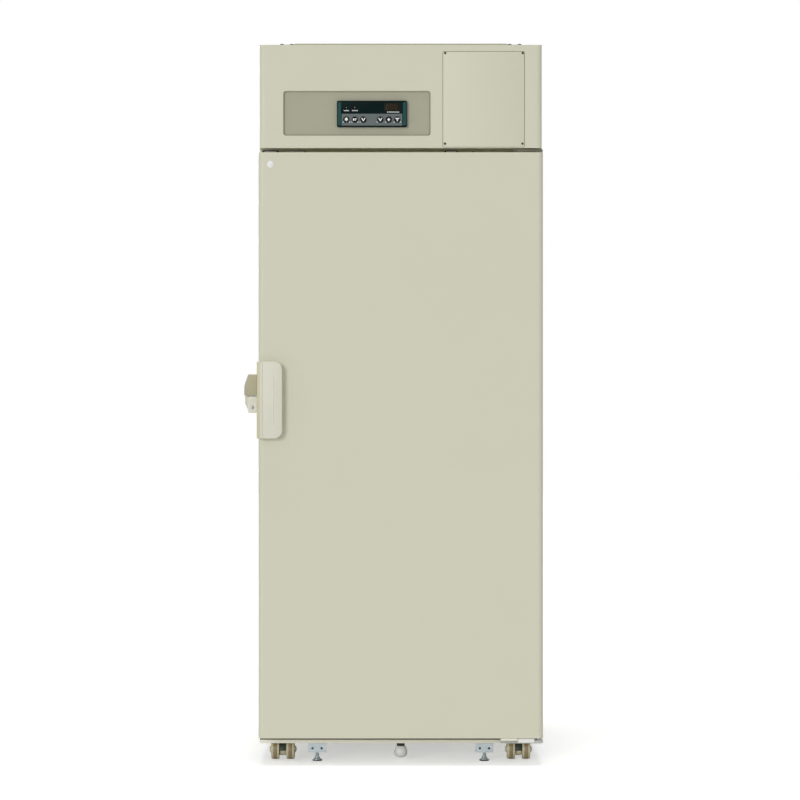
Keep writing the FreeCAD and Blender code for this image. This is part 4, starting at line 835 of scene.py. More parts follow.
@dataclass
class Cabinet:
    """Enamelled shell with its liner, collar, top and rear."""

    half: float = 385.0
    front: float = 72.0
    back: float = 830.0
    top: float = 1949.5
    platform: tuple[Span, Span, Span] = ((-290.0, 290.0), (17.0, 810.0), (1949.9, 1955.0))
    inside: tuple[Span, Span] = ((-320.0, 320.0), (135.0, 1600.0))
    inside_depth: Span = (76.0, 765.0)
    corner: float = 12.0
    lip: Span = (52.2, 61.4)
    shade_band: Span = (61.4, 66.0)
    bumpers: tuple[Span, Span] = ((290.3, 300.0), (317.0, 327.0))
    clip: Span = (299.0, 318.0)
    screw_side: float = 346.0
    spacer_side: float = 300.0
    spacer_rows: Span = (1560.0, 1620.0)
    rear_screw_side: float = 372.0
    rear_screw_rows: tuple[float, ...] = (110.0, 480.0, 850.0, 1220.0, 1590.0, 1690.0, 1930.0)
    grille_screws: tuple[tuple[float, ...], Span] = ((-190.0, 0.0, 190.0), (1675.0, 1938.0))
    port: Flat = (-200.0, 1450.0)

    def build(self) -> None:
        """Dresses the sheets and makes the rounded top, corner strips, screws and rear fittings."""
        for node in ("side_panel_left", "side_panel_right", "back_panel", "base_pan", "rear_grille"):
            dress(node, Finishes.enamel)
        across = (1 - self.half, self.half - 1)
        # Painted light: a lighter enamel strip on the base's front lip, which the door's overhang shades.
        Form().block(across, (self.front - 0.8, self.front), self.lip, 0.3).piece(
            "base_lip_painted_light", Finishes.lip, slot="enamel")
        # Painted shade: a dark strip on the base's front face just under the door's bottom edge.
        Form().block(across, (self.front - 0.6, self.front), self.shade_band, 0.2).piece(
            "base_shade_strip", Finishes.painted_shade, slot="enamel")
        for node, finish in (("machine_deck", Finishes.steel), ("inner_liner", Finishes.liner),
                             ("shelf_rails", Finishes.liner), ("breaker_frame", Finishes.collar),
                             ("cabinet_foam", Finishes.foam), ("liner_tubes", Finishes.white)):
            dress(node, finish)
        self.roof()
        self.coves()
        self.rear()

    def roof(self) -> None:
        """Makes the top sheet with its raised platform, bumpers and front screws."""
        lid = Form().block((2 - self.half, self.half - 2), (15.0, self.back), (self.top, self.top + 1.0), 0.3)
        lid.piece("roof", Finishes.enamel, replaces=("top_panel",), slot="enamel")
        raised = Form().block(*self.platform, bevel=2.2, corner=8.0, along=Axis.Z)
        raised.piece("roof_platform", Finishes.enamel, slot="enamel")
        # Painted shade: a darker strip on the raised platform's front face, which is the same enamel.
        edge_shade = Form().block((-287.0, 287.0), (16.7, 18.0), (self.top + 1.2, self.top + 4.4), 0.3)
        edge_shade.piece("platform_edge_shade", Finishes.shade, slot="enamel")
        pads, clips = Form(), Form()
        for side in (-1.0, 1.0):
            for near, far in self.bumpers:
                pads.block(sorted((side * near, side * far)), (18.0, 45.0), (self.top + 1.0, 1954.0), 1.3, 3.0,
                           Axis.Z)
            clips.block(sorted(side * end for end in self.clip), (20.0, 43.0), (self.top + 1.0, 1953.2), 0.8, 3.0,
                        Axis.Z)
        pads.piece("roof_bumpers", Finishes.rubber, replaces=("top_bumpers",), slot="seal_rubber")
        clips.piece("bumper_clips", Finishes.white, slot="seal_rubber")
        places = [(side * self.screw_side, y) for y in (40.0, 790.0) for side in (-1.0, 1.0)]
        Screws("roof_screws", places, self.top + 1.0, 3.6, 2.2, Facing.UP).build()

    def coves(self) -> None:
        """Makes the rounded strips in the four long corners of the interior."""
        strips = Form()
        (left, right), (low, high) = self.inside
        size = self.corner
        for quarter, (x, z) in enumerate(((right, high), (left, high), (left, low), (right, low))):
            centre = (x + (size if x == left else -size), z + (size if z == low else -size))
            strips.sheet([[(x, z), *arc(centre, size, quarter)]], self.inside_depth)
        strips.piece("liner_coves", Finishes.liner, slot="liner_enamel")

    def rear(self) -> None:
        """Makes the spacers, the port's flange and the screws on the back."""
        spacers = Form()
        low, high = self.spacer_rows
        for middle in (-self.spacer_side, self.spacer_side):
            spacers.block((middle - 20, middle + 20), (self.back, self.back + 4), (low, high), 1.2, 6.0)
            spacers.block((middle - 12, middle + 12), (self.back + 2, self.back + 20), (low + 8, high - 8), 2.5, 5.0)
        spacers.piece("wall_spacers", Finishes.rubber, replaces=("rear_spacers",), slot="spacer_plastic")
        heads = [(side * self.rear_screw_side, z) for side in (-1.0, 1.0) for z in self.rear_screw_rows]
        heads += [(x, z) for x in self.grille_screws[0] for z in self.grille_screws[1]]
        Screws("rear_screws", heads, self.back, 3.6, 1.4).build()
        flange = [(8.7, -0.4), (16.0, -0.4), (16.6, 0.4), (16.0, 1.4), (9.4, 2.4), (8.7, 1.6), (8.7, -0.4)]
        Form().lathe(flange, (self.port[0], self.back, self.port[1]), Axis.Y).piece(
            "port_flange", Finishes.white, slot="white_plastic")


@dataclass
class Header:
    """Front cover of the machine compartment with its recessed plate and its blank cover."""

    face: float = 4.0
    cover: tuple[Span, Span] = ((114.5, 334.0), (1673.0, 1930.5))
    cover_rise: float = 1.2
    recess: tuple[Span, Span] = ((-318.0, 81.0), (1703.5, 1825.0))
    recess_corner: float = 8.0
    shade_band: float = 2.6
    screw_places: tuple[Flat, ...] = ((120.0, 1927.0), (330.0, 1927.0), (119.5, 1682.0), (329.0, 1682.0))

    def build(self) -> None:
        """Dresses the sheets and makes the cover with its screws."""
        dress("header_panel", Finishes.enamel)
        dress("control_bezel", Finishes.shade)
        # Painted shade: dark strips inside the recessed plate's edge, wide at the left, right and bottom and thin at
        # the top, and a dark line in the gap round the blank cover.
        (left, right), (low, high) = self.recess
        inner = rounded((left + self.shade_band, right - self.shade_band), (low + self.shade_band, high - self.shade_band / 3),
                        self.recess_corner - self.shade_band / 2)
        shade_rims = Form().sheet([rounded(*self.recess, self.recess_corner), inner], (7.6, 9.0), 0.2)
        (left, right), (low, high) = self.cover
        edge = self.shade_band / 2
        gap = rounded((left - edge, right + edge), (low - edge / 2, high + edge), 3.0 + edge)
        shade_rims.sheet([gap, rounded((left + 1, right - 1), (low + 1, high - 1), 2.0)], (self.face - 0.15, self.face))
        shade_rims.piece("header_shade_lines", Finishes.painted_shade, slot="recess_paint")
        outline = rounded(*self.cover, 3.0)
        plate = Form().sheet([outline], (self.face - self.cover_rise, self.face), 0.45)
        plate.piece("blank_cover", Finishes.enamel, replaces=("recorder_cover",), slot="enamel")
        Screws("cover_screws", self.screw_places, self.face - self.cover_rise).build()


class Symbol(Enum):
    """The plain signs on the keys."""

    MUTE = "mute"
    SET = "set"
    DOWN = "down"
    UP = "up"
    ENTER = "enter"

    def strokes(self) -> list[list[Flat]]:
        """The sign's filled outlines.

        Returns:
            Each outline's points in millimetres round the key's middle.
        """
        chevron = [(-4.6, 3.0), (-2.6, 4.0), (0.0, -0.6), (2.6, 4.0), (4.6, 3.0), (0.9, -3.6), (-0.9, -3.6)]
        return {
            Symbol.MUTE: [[(-4.4, -1.6), (-3.2, 0.0), (-2.8, 3.0), (0.0, 4.6), (2.8, 3.0), (3.2, 0.0), (4.4, -1.6)],
                          ring((0.0, -3.0), 1.2, 12)],
            Symbol.SET: [[(-4.2, -2.6), (-4.2, 2.6), (-0.8, 2.6), (-0.8, -2.6)],
                         [(0.8, -2.6), (0.8, 2.6), (4.2, 2.6), (4.2, 1.0), (2.4, 1.0), (2.4, -2.6)]],
            Symbol.DOWN: [chevron],
            Symbol.UP: [[(-4.0, -0.8), (0.0, 3.8), (4.0, -0.8), (1.6, -0.8), (1.6, -3.4), (-1.6, -3.4),
                         (-1.6, -0.8)]],
            Symbol.ENTER: [[(-4.4, 3.6), (4.4, 3.6), (4.4, 1.8), (1.2, 0.6), (1.2, -4.0), (-1.2, -4.0),
                            (-1.2, 0.6), (-4.4, 1.8)]],
        }[self]


@dataclass
class ControlPanel:
    """Dark housing with its films, lamps and display, and the six keys."""

    across: Span = (-172.6, 17.0)
    up: Span = (1727.0, 1798.0)
    depth: Span = (-1.0, 9.0)
    window: tuple[Span, Span] = ((-44.0, -2.0), (1770.0, 1792.0))
    key_level: float = 1746.7
    key_places: tuple[float, ...] = (-147.0, -124.0, -101.0, -55.3, -32.3, -9.3)
    key_radius: float = 8.5
    signs: tuple[Symbol, ...] = (Symbol.MUTE, Symbol.SET, Symbol.DOWN, Symbol.DOWN, Symbol.UP, Symbol.ENTER)
    film: float = 0.12
    sign_size: float = 1.2
    strip: tuple[Span, Span] = ((-159.7, 4.0), (1730.6, 1762.4))
    bands: tuple[Span, Span] = ((-170.4, -161.4), (6.0, 15.2))
    band_up: Span = (1731.0, 1794.0)
    bars: tuple[tuple[float, float, float, int, Span], ...] = (
        (-153.6, 1.88, 1.0, 5, (1769.7, 1772.3)), (-131.4, 2.28, 1.0, 5, (1769.7, 1772.3)),
        (-37.0, 3.3, 0.9, 8, (1766.0, 1768.2)))
    lamp_level: float = 1779.4
    digits: tuple[float, float, float] = (-35.0, -24.5, -14.0)
    digit_level: float = 1781.0

    def build(self) -> None:
        """Makes the housing, what is printed on it, the display and the keys."""
        holes = [ring((place, self.key_level), self.key_radius + 0.3, 40) for place in self.key_places]
        outline = rounded(self.across, self.up, 4.0)
        window = rounded(*self.window, 0.8, 3)
        Form().sheet([outline, window, *holes], self.depth, 0.7).piece(
            "panel_housing", Finishes.panel, replaces=("control_housing",), slot="panel_plastic")
        self.films(holes)
        self.display()
        for number, (place, sign) in enumerate(zip(self.key_places, self.signs), 1):
            self.key(number, place, sign)

    def films(self, holes: list[list[Flat]]) -> None:
        """Makes the grey strip, the teal bands, the lamps and the plain bars beside them.

        Args:
            holes: The outlines of the holes for the keys.
        """
        front = (self.depth[0] - self.film, self.depth[0] + 0.05)
        strip = rounded(*self.strip, 0.8, 3)
        Form().sheet([strip, *holes], front).piece("key_strip", Finishes.strip, slot="panel_plastic")
        bands = Form()
        for side in self.bands:
            bands.sheet([rounded(side, self.band_up, 1.5, 3)], front)
        bands.piece("edge_bands", Finishes.band, slot="panel_plastic")
        marks = Form()
        for left, width, gap, count, level in self.bars:
            for low in (left + bar * (width + gap) for bar in range(count)):
                marks.sheet([rounded((low, low + width), level, 0.4, 2)], front)
        corners = [(place - 8.4, self.key_level - 6.6) for place in self.key_places]
        corners += [(self.key_places[number] + 8.4, self.key_level - 6.6) for number in (0, 1, 5)]
        for corner in corners:
            marks.sheet([ring(corner, 1.7, 4)], (front[0] - 0.1, front[1]))
        marks.piece("panel_marks", Finishes.legend, slot="panel_plastic")
        for name, place, finish in (("run_lamp", self.key_places[0], Finishes.green_lamp),
                                    ("alarm_lamp", self.key_places[1], Finishes.amber_lamp)):
            dome = [(0.0, -0.7), (0.8, -0.55), (1.3, -0.1), (1.3, 0.4)]
            lamp = Form().lathe(dome, (place, self.depth[0], self.lamp_level), Axis.Y, 20)
            lamp.piece(name, finish, slot="panel_plastic")

    def display(self) -> None:
        """Makes the display's glass and its unlit digits."""
        (left, right), (low, high) = self.window
        glass = Form().block((left, right), (-0.9, 1.5), (low, high), 0.3, 0.7)
        glass.piece("display_glass", Finishes.glass, replaces=("display_window",), slot="window_plastic")
        digits = Form()
        for place in self.digits:
            for x, z, wide in ((0, 6.2, True), (0, 0, True), (0, -6.2, True), (-3.3, 3.1, False), (3.3, 3.1, False),
                               (-3.3, -3.1, False), (3.3, -3.1, False)):
                half = (2.5, 0.55) if wide else (0.55, 2.4)
                across = (place + x - half[0], place + x + half[0])
                up = (self.digit_level + z - half[1], self.digit_level + z + half[1])
                digits.sheet([rounded(across, up, 0.5, 2)], (-1.02, -0.85))
        digits.piece("display_digits", Finishes.segment, slot="window_plastic")

    def key(self, number: int, place: float, sign: Symbol) -> None:
        """Makes one key.

        Args:
            number: The key's number from the left.
            place: Where it stands.
            sign: The sign on it.
        """
        radius = self.key_radius - 0.15
        profile = [(0.0, 7.5), (radius, 7.5), (radius, -1.3), (radius - 0.35, -1.95), (radius - 1.3, -2.3),
                   (radius - 2.6, -2.38), (0.0, -2.42)]
        body = f"key_{number}"
        Form().lathe(profile, (place, 0.0, self.key_level), Axis.Y).piece(
            f"{body}_cap", Finishes.key, body, (body,), "key_plastic")
        mark = Form()
        for outline in sign.strokes():
            moved = [(place + x * self.sign_size, self.key_level + z * self.sign_size) for x, z in outline]
            mark.sheet([moved], (-2.5, -2.3))
        mark.piece(f"{body}_sign", Finishes.legend, body, slot="key_plastic")


@dataclass
class Door:
    """Solid door with its gasket, inner face and plug."""

    half: float = 384.0
    dyke: tuple[Span, Span] = ((-300.0, 300.0), (155.0, 1580.0))
    dyke_depth: Span = (59.0, 85.0)
    back: float = 60.0
    seal: tuple[float, Span] = (350.0, (105.0, 1630.0))
    panels: tuple[float, float, float] = (400.0, 867.5, 1335.0)
    panel_half: Flat = (262.0, 200.0)
    plug: Flat = (-352.0, 1625.6)

    def build(self) -> None:
        """Dresses the skin and makes the inner face, the gasket and the plug."""
        dress("door_skin", Finishes.door)
        dress("door_foam", Finishes.foam)
        dress("hinge_bushes", Finishes.white)
        face = Form().block((-self.half, self.half), (59.0, self.back), (75.5, 1657.5), 0.3)
        face.block(self.dyke[0], self.dyke_depth, self.dyke[1], 5.0, 15.5)
        wide, tall = self.panel_half
        for z in self.panels:
            face.block((-wide, wide), (83.0, 84.9), (z - tall, z + tall), 0.8, 20.0)
        face.piece("door_inner_face", Finishes.liner, "door", ("door_liner",), "liner_enamel")
        self.gasket()
        dome = [(0.0, 0.0), (9.4, 0.0), (9.4, -0.9), (8.6, -1.8), (6.6, -2.3), (0.0, -2.4)]
        Form().lathe(dome, (self.plug[0], 0.0, self.plug[1]), Axis.Y).piece(
            "door_cap", Finishes.white, "door", ("door_plug",), "white_plastic")

    def gasket(self) -> None:
        """Makes the soft ring with its foot, folds and sealing face."""
        half, (low, high) = self.seal
        seal = Form()
        rings = ((0.0, 24.0, 67.9, 71.7, 1.6), (3.0, 18.0, 65.3, 68.4, 0.6), (5.0, 14.0, 60.0, 65.6, 0.6))
        for inset, width, front, back, bevel in rings:
            out = rounded((inset - half, half - inset), (low + inset, high - inset), 2.5, 4)
            hole_inset = inset + width
            hole = rounded((hole_inset - half, half - hole_inset), (low + hole_inset, high - hole_inset), 2.5, 4)
            seal.sheet([out, hole], (front, back), bevel)
        seal.piece("door_seal", Finishes.seal, "door", ("door_gasket",), "seal_rubber")


@dataclass
class Handle:
    """Lever on its upright pin, and the base that carries it."""

    pin: Flat = (-377.0, -16.7)
    ends: Span = (885.0, 1093.0)
    right: float = -319.5
    corner: float = 22.0
    lock_hole: Flat = (-400.0, 969.0)
    barrel_radius: float = 11.2
    tab: tuple[Span, Span] = ((-412.0, -386.0), (954.0, 998.0))

    def build(self) -> None:
        """Makes the barrel, the paddle with its rib and lip, and the tab for a padlock."""
        # The base and the barrel take the darker copy of the handle plastic, painted shade on their rounded sides.
        dress("handle_base", Finishes.barrel)
        low, high = self.ends
        x, y = self.pin
        radius = self.barrel_radius
        profile = [(0.0, low), (radius - 2.4, low), (radius - 0.7, low + 0.7), (radius, low + 2.4),
                   (radius, high - 2.4), (radius - 0.7, high - 0.7), (radius - 2.4, high), (0.0, high)]
        barrel = Form().lathe(profile, (x, y, 0.0))
        barrel.piece("lever_barrel", Finishes.barrel, "handle", slot="handle_plastic")
        edge, corner = self.right - self.corner, self.corner
        outline = [(x + 4.5, low), *arc((edge, low + corner), corner, -1), *arc((edge, high - corner), corner, 0),
                   (x + 4.5, high)]
        paddle = Form().sheet([outline], (-27.3, -23.4), 1.6)
        paddle.block((self.right - 4, self.right), (-26.4, -19.0), (low + 24, high - 24), 1.4)
        paddle.block((-347.0, -341.4), (-28.3, -26.0), (low + 38, high - 42), 1.05, segments=2)
        paddle.block((x - 1.6, x + 4.8), (-28.3, -24.0), (low + 1.5, high - 1.5), 1.5)
        paddle.piece("lever_paddle", Finishes.handle, "handle", ("handle_lever",), "handle_plastic")
        plate = Form().sheet([rounded(*self.tab, 6.0), ring(self.lock_hole, 5.0)], (-18.2, -15.2), 0.6)
        plate.piece("lever_tab", Finishes.handle, "handle", slot="handle_plastic")


@dataclass
class Catch:
    """Hasp plate beside the door's edge, under its two-part cover."""

    wall: float = -385.0
    inner: float = -389.0
    face: float = -411.0
    outer: float = -425.0
    ends: tuple[float, float, float] = (955.0, 1001.0, 1058.0)

    def build(self) -> None:
        """Makes the cover and the skirt under it, and dresses the plate."""
        dress("catch_bracket", Finishes.zinc)
        low, split, high = self.ends
        plan = [(self.inner, -10.0), (self.face, -10.0), (self.outer, 34.0), (self.outer, 80.0), (self.face, 100.0),
                (self.wall, 100.0), (self.wall, 76.0), (self.inner, 72.0)]
        cover = Form().sheet([plan[::-1]], (split + 0.4, high), 1.3, Facing.UP)
        cover.slice((self.outer, 0.0, high - 30.0), (-0.92, 0.0, 0.40))
        # The cover takes the darker copy of the handle plastic, painted shade; the apron below takes the plain one.
        cover.piece("catch_hood", Finishes.catch, replaces=("catch_cover",), slot="handle_plastic")
        plan = [(self.face, 40.0), (self.outer + 1, 56.0), (self.outer + 1, 76.0), (self.face, 90.0), (-395.0, 90.0),
                (-395.0, 40.0)]
        skirt = Form().sheet([plan[::-1]], (low, split), 1.0, Facing.UP)
        skirt.slice((self.outer, 0.0, low + 27.0), (-0.9, 0.0, -0.44))
        skirt.piece("catch_apron", Finishes.handle, replaces=("catch_skirt",), slot="handle_plastic")


@dataclass
class Caster:
    """Twin-wheel caster under one corner."""

    name: str
    place: Flat
    level: float
    trail: float = 20.0
    drop: float = 35.0
    wheel_radius: float = 25.0
    near: float = 9.75
    far: float = 32.25

    def build(self) -> None:
        """Makes the body with its neck, rib and drum, and the two wheels on their axle."""
        x, y = self.place
        hub = (x, y - self.trail, self.level - self.drop)
        near = self.near - 0.4
        dome = ring((hub[1], hub[2]), 23.5, 32)[:17]
        hood = Form().sheet([[*dome, (hub[1] - 20.0, hub[2] - 2.5), (hub[1] + 20.0, hub[2] - 2.5)]],
                            (x - near, x + near), 1.4, Facing.LEFT)
        neck = [(0.0, -17.2), (11.8, -17.2), (11.8, -3.0), (11.2, -0.9), (10.4, -0.35), (0.0, -0.35)]
        hood.lathe(neck, (x, y, self.level), Axis.Z, 40)
        rib = [(hub[1] + 6, hub[2] + 23), (hub[1] + 30, self.level - 4), (hub[1] + 30, self.level - 17),
               (hub[1] + 20, hub[2] + 8), (hub[1] + 6, hub[2] + 8)]
        hood.sheet([rib], (x - 6, x + 6), 1.0, Facing.LEFT)
        hood.piece(f"caster_hood_{self.name}", Finishes.hood, f"caster_{self.name}", (f"caster_fork_{self.name}",),
                   "hood_plastic")
        drum = [(0.0, 1 - near), (16.2, 1 - near), (17.0, 2 - near), (17.0, near - 2), (16.2, near - 1),
                (0.0, near - 1)]
        Form().lathe(drum, hub, Axis.X, 36).piece(f"caster_drum_{self.name}", Finishes.hub, f"caster_{self.name}",
                                                  slot="hood_plastic")
        self.wheels(hub)

    def wheels(self, hub: Point) -> None:
        """Makes the treads, the ribbed wheel bodies and the axle's caps.

        Args:
            hub: The middle of the axle.
        """
        treads, bodies, caps = Form(), Form(), Form()
        radius, near, far = self.wheel_radius, self.near, self.far
        for side in (-1.0, 1.0):
            ring_profile = [(radius - 2.0, near + 5.6), (radius - 0.3, near + 5.6), (radius, near + 6.2),
                            (radius, far - 6.8), (radius - 0.3, far - 6.2), (radius - 2.0, far - 6.2),
                            (radius - 2.0, near + 5.6)]
            treads.lathe([(r, side * along) for r, along in ring_profile], hub, Axis.X, 56)
            dish = [(4.0, near), (radius - 2.0, near), (radius - 0.7, near + 0.6), (radius - 0.2, near + 2.0),
                    (radius - 0.2, near + 5.0), (radius - 0.6, near + 5.7), (radius - 0.6, far - 6.3),
                    (radius - 0.2, far - 5.6), (radius - 0.3, far - 3.0), (radius - 1.2, far - 1.4),
                    (radius - 3.4, far - 0.3), (radius - 5.0, far - 0.4), (radius - 5.6, far - 3.0),
                    (11.0, far - 3.4), (10.2, far - 0.4), (4.0, far)]
            bodies.lathe([(r, side * along) for r, along in dish], hub, Axis.X, 48)
            for number in range(6):
                turn = math.tau * (number + 0.5) / 6
                spoke = Form().block((far - 3.6, far - 1.2), (-1.1, 1.1), (10.0, radius - 5.2), 0.4)
                spot = Matrix.Translation(hub) @ Matrix.Rotation(turn, 4, "X") @ Matrix.Scale(side, 4, (1, 0, 0))
                bodies.merge(spoke.mesh, spot)
            cap = [(0.0, far + 4.9), (4.0, far + 4.7), (7.2, far + 3.4), (8.8, far + 1.4), (9.4, far - 1.0),
                   (0.0, far - 1.0)]
            caps.lathe([(r, side * along) for r, along in cap], hub, Axis.X, 32)
        for side in (-1.0, 1.0):
            drum = [(0.0, near - 0.35), (13.5, near - 0.35), (14.0, near + 0.4), (0.0, near + 0.4)]
            bodies.lathe([(r, side * along) for r, along in drum], hub, Axis.X, 32)
        body = f"wheels_{self.name}"
        treads.piece(f"wheel_treads_{self.name}", Finishes.tread, body, (f"caster_wheels_{self.name}",),
                     "wheel_plastic")
        bodies.piece(f"wheel_bodies_{self.name}", Finishes.hub, body, slot="wheel_plastic")
        caps.piece(f"wheel_caps_{self.name}", Finishes.hub, body, slot="wheel_plastic")


@dataclass
class LevellingFoot:
    """Bracket, threaded stem and pad of one levelling foot."""

    side: str
    x: float
    y: float = 107.0
    stem: Span = (8.0, 56.0)

    def build(self) -> None:
        """Makes the pad with its bell, the stem, the weld nut and the bracket's screws."""
        pad = [(0.0, 0.0), (12.6, 0.0), (13.4, 0.7), (13.4, 2.6), (12.8, 3.2), (0.0, 3.2)]
        spot, body = (self.x, self.y, 0.0), f"foot_pad_{self.side}"
        Form().lathe(pad, spot).piece(f"foot_rest_{self.side}", Finishes.rubber, body, (body,), "foot_rubber")
        bell = [(0.0, 3.0), (12.4, 3.0), (12.2, 4.0), (9.0, 6.0), (7.4, 9.0), (7.0, 11.4), (6.6, 12.0), (5.5, 12.0),
                (5.5, 7.6), (0.0, 7.6)]
        Form().lathe(bell, spot).piece(f"foot_bell_{self.side}", Finishes.zinc, body, slot="zinc")
        body = f"foot_stem_{self.side}"
        rod = Form().thread((self.x, self.y), self.stem, 4.95, 0.75, 1.5)
        rod.piece(f"foot_screw_{self.side}", Finishes.zinc, body, (body,), "zinc", 60.0)
        nut = Form().sheet([ring((self.x, self.y), 9.2, 6), ring((self.x, self.y), 5.2, 28)], (27.0, 34.5), 0.6,
                           Facing.UP)
        nut.piece(f"foot_nut_{self.side}", Finishes.zinc, slot="zinc")
        Screws(f"foot_bracket_screws_{self.side}", [(self.x - 12.5, 36.0), (self.x + 12.5, 36.0)], 88.0,
               rise=-1.6).build()


@dataclass
class Fittings:
    """Hinges, caster plates, drain and the small pieces round the door."""

    collar: float = 72.0
    gap_shade: tuple[Span, Span, Span] = ((309.0, 383.0), (5.2, 6.2), (1661.9, 1667.1))
    hinge_glint: tuple[Span, Span, Span] = ((271.0, 316.0), (2.4, 6.0), (67.7, 73.6))
    strip: Span = (-317.0, -266.0)
    stop: Span = (-373.0, -338.0)
    switch: Span = (124.0, 151.0)
    gap_screws: tuple[Flat, Flat] = ((-262.0, 1664.4), (198.0, 1664.4))
    cover: Span = (317.0, 366.0)
    set_screw: Flat = (379.0, 13.0)
    drain_place: Flat = (0.0, 105.0)
    plates: tuple[Point, ...] = ((-323.0, 132.0, 66.0), (323.0, 132.0, 66.0), (-323.0, 710.0, 60.0),
                                 (323.0, 710.0, 60.0))
    bolt_reach: float = 35.0

    def build(self) -> None:
        """Dresses the metal pieces and makes the small ones."""
        for node, finish in (("cabinet_hinges", Finishes.bright), ("foot_brackets", Finishes.zinc),
                             ("caster_plates", Finishes.zinc)):
            dress(node, finish)
        self.bolts()
        self.gap_pieces()
        self.hinge_cover()
        self.drain()
        # Painted shade: a dark strip in the gap over the door, in front of the upper hinge's bright end.
        Form().block(*self.gap_shade, 0.3).piece("hinge_gap_shade", Finishes.painted_shade, slot="zinc")
        # Painted highlight: a pale strip just under the door for the light caught on the lower hinge plate's top.
        Form().block(*self.hinge_glint, 0.6).piece("hinge_highlight", Finishes.lip, slot="zinc")

    def bolts(self) -> None:
        """Makes the hexagon bolts that hold the caster plates."""
        heads = Form()
        for x, y, level in self.plates:
            for across in (-self.bolt_reach, self.bolt_reach):
                for back in (-self.bolt_reach, self.bolt_reach):
                    heads.sheet([ring((x + across, y + back), 6.2, 6)], (level - 3.6, level), 0.5, Facing.UP)
        heads.piece("caster_bolts", Finishes.steel, slot="zinc")

    def gap_pieces(self) -> None:
        """Makes the strip, switch, stop and screw in the gap over the door."""
        back = self.collar
        strip = Form().block(self.strip, (back - 3.0, back), (1660.5, 1668.0), 0.5)
        strip.block(self.strip, (back - 5.5, back - 2.4), (1660.5, 1662.0), 0.4)
        strip.piece("gap_strip", Finishes.bright, slot="zinc")
        stop = Form().block(self.stop, (back - 5.8, back), (1660.5, 1668.0), 1.6, 2.6)
        stop.block(self.switch, (back - 5.8, back), (1661.0, 1667.5), 1.2, 2.0)
        stop.piece("gap_blocks", Finishes.white, replaces=("collar_fittings",), slot="white_plastic")
        # Painted shadow: black blocks a little larger than the white stop and switch, standing round them as their
        # shade in the gap.
        shadow = Form().block((self.stop[0] - 5.0, self.stop[1] + 4.5), (back - 3.5, back), (1659.6, 1669.4), 0.8, 2.0)
        shadow.block((self.switch[0] - 4.0, self.switch[1] + 4.0), (back - 3.0, back), (1660.0, 1668.6), 0.8, 2.0)
        shadow.piece("gap_shadows", Finishes.rubber, slot="seal_rubber")
        Screws("gap_screws", self.gap_screws, self.collar, 3.2, -2.0).build()

    def hinge_cover(self) -> None:
        """Makes the rounded cover on the lower hinge and the head of its set screw."""
        cover = Form().block(self.cover, (4.0, 66.0), (67.7, 73.5), 2.2, 5.0, Axis.Z)
        cover.block(self.cover, (4.0, 6.4), (61.8, 71.0), 1.0)
        cover.slice((self.cover[1] - 5.0, 0.0, 0.0), (1.0, 0.0, 0.0))
        cover.piece("hinge_cap", Finishes.white, slot="white_plastic")
        knob = [(0.0, 67.5), (2.9, 67.5), (3.1, 70.0), (3.1, 72.4), (2.4, 73.4), (0.0, 73.6)]
        Form().lathe(knob, (*self.set_screw, 0.0), Axis.Z, 24).piece("hinge_set_screw", Finishes.bright, slot="zinc")

    def drain(self) -> None:
        """Makes the drain's cap and the dark sleeve over its pipe."""
        cap = [(0.0, 10.0), (8.0, 10.2), (12.6, 11.8), (16.0, 15.2), (17.7, 20.0), (18.0, 25.0), (17.5, 30.0),
               (15.8, 35.0), (13.4, 38.6), (11.6, 40.0), (10.4, 39.6), (10.4, 32.4), (0.0, 32.4)]
        Form().lathe(cap, (*self.drain_place, 0.0)).piece(
            "drain_plug", Finishes.white, "drain_cap", ("drain_cap",), "white_plastic")
        sleeve = [(10.0, 41.0), (10.5, 41.0), (10.7, 41.6), (10.7, 69.6), (10.0, 69.6), (10.0, 41.0)]
        Form().lathe(sleeve, (*self.drain_place, 0.0)).piece(
            "drain_sleeve", Finishes.rubber, slot="seal_rubber")


@dataclass
class Shelves:
    """Five fixed evaporator shelves."""

    half: float = 311.8
    deep: Span = (112.0, 745.0)
    levels: tuple[float, ...] = (379.0, 623.0, 867.0, 1111.0, 1355.0)
    rows: tuple[float, ...] = (160.0, 296.0, 432.0, 568.0, 704.0)
    run: float = 215.0
    bulge: float = 68.0
    tube_radius: float = 3.9

    def build(self) -> None:
        """Makes the plates with their rolled fronts, and the tubes in their serpentine under them."""
        plates, tubes = Form(), Form()
        line = serpentine(self.rows, self.run, self.bulge, 16)
        for level in self.levels:
            plates.block((-self.half, self.half), self.deep, (level, level + 2.0), 0.6)
            plates.block((-self.half, self.half), (self.deep[0], self.deep[0] + 3.0), (level - 5.0, level + 1.9), 0.9)
            tubes.bar([(x, y, level - self.tube_radius + 0.3) for x, y in line], self.tube_radius, 12)
        plates.piece("shelf_plates", Finishes.frosted, replaces=("evaporator_shelves",), slot="shelf_aluminium")
        tubes.piece("shelf_tubes", Finishes.frosted, slot="shelf_aluminium", sharp=60.0)


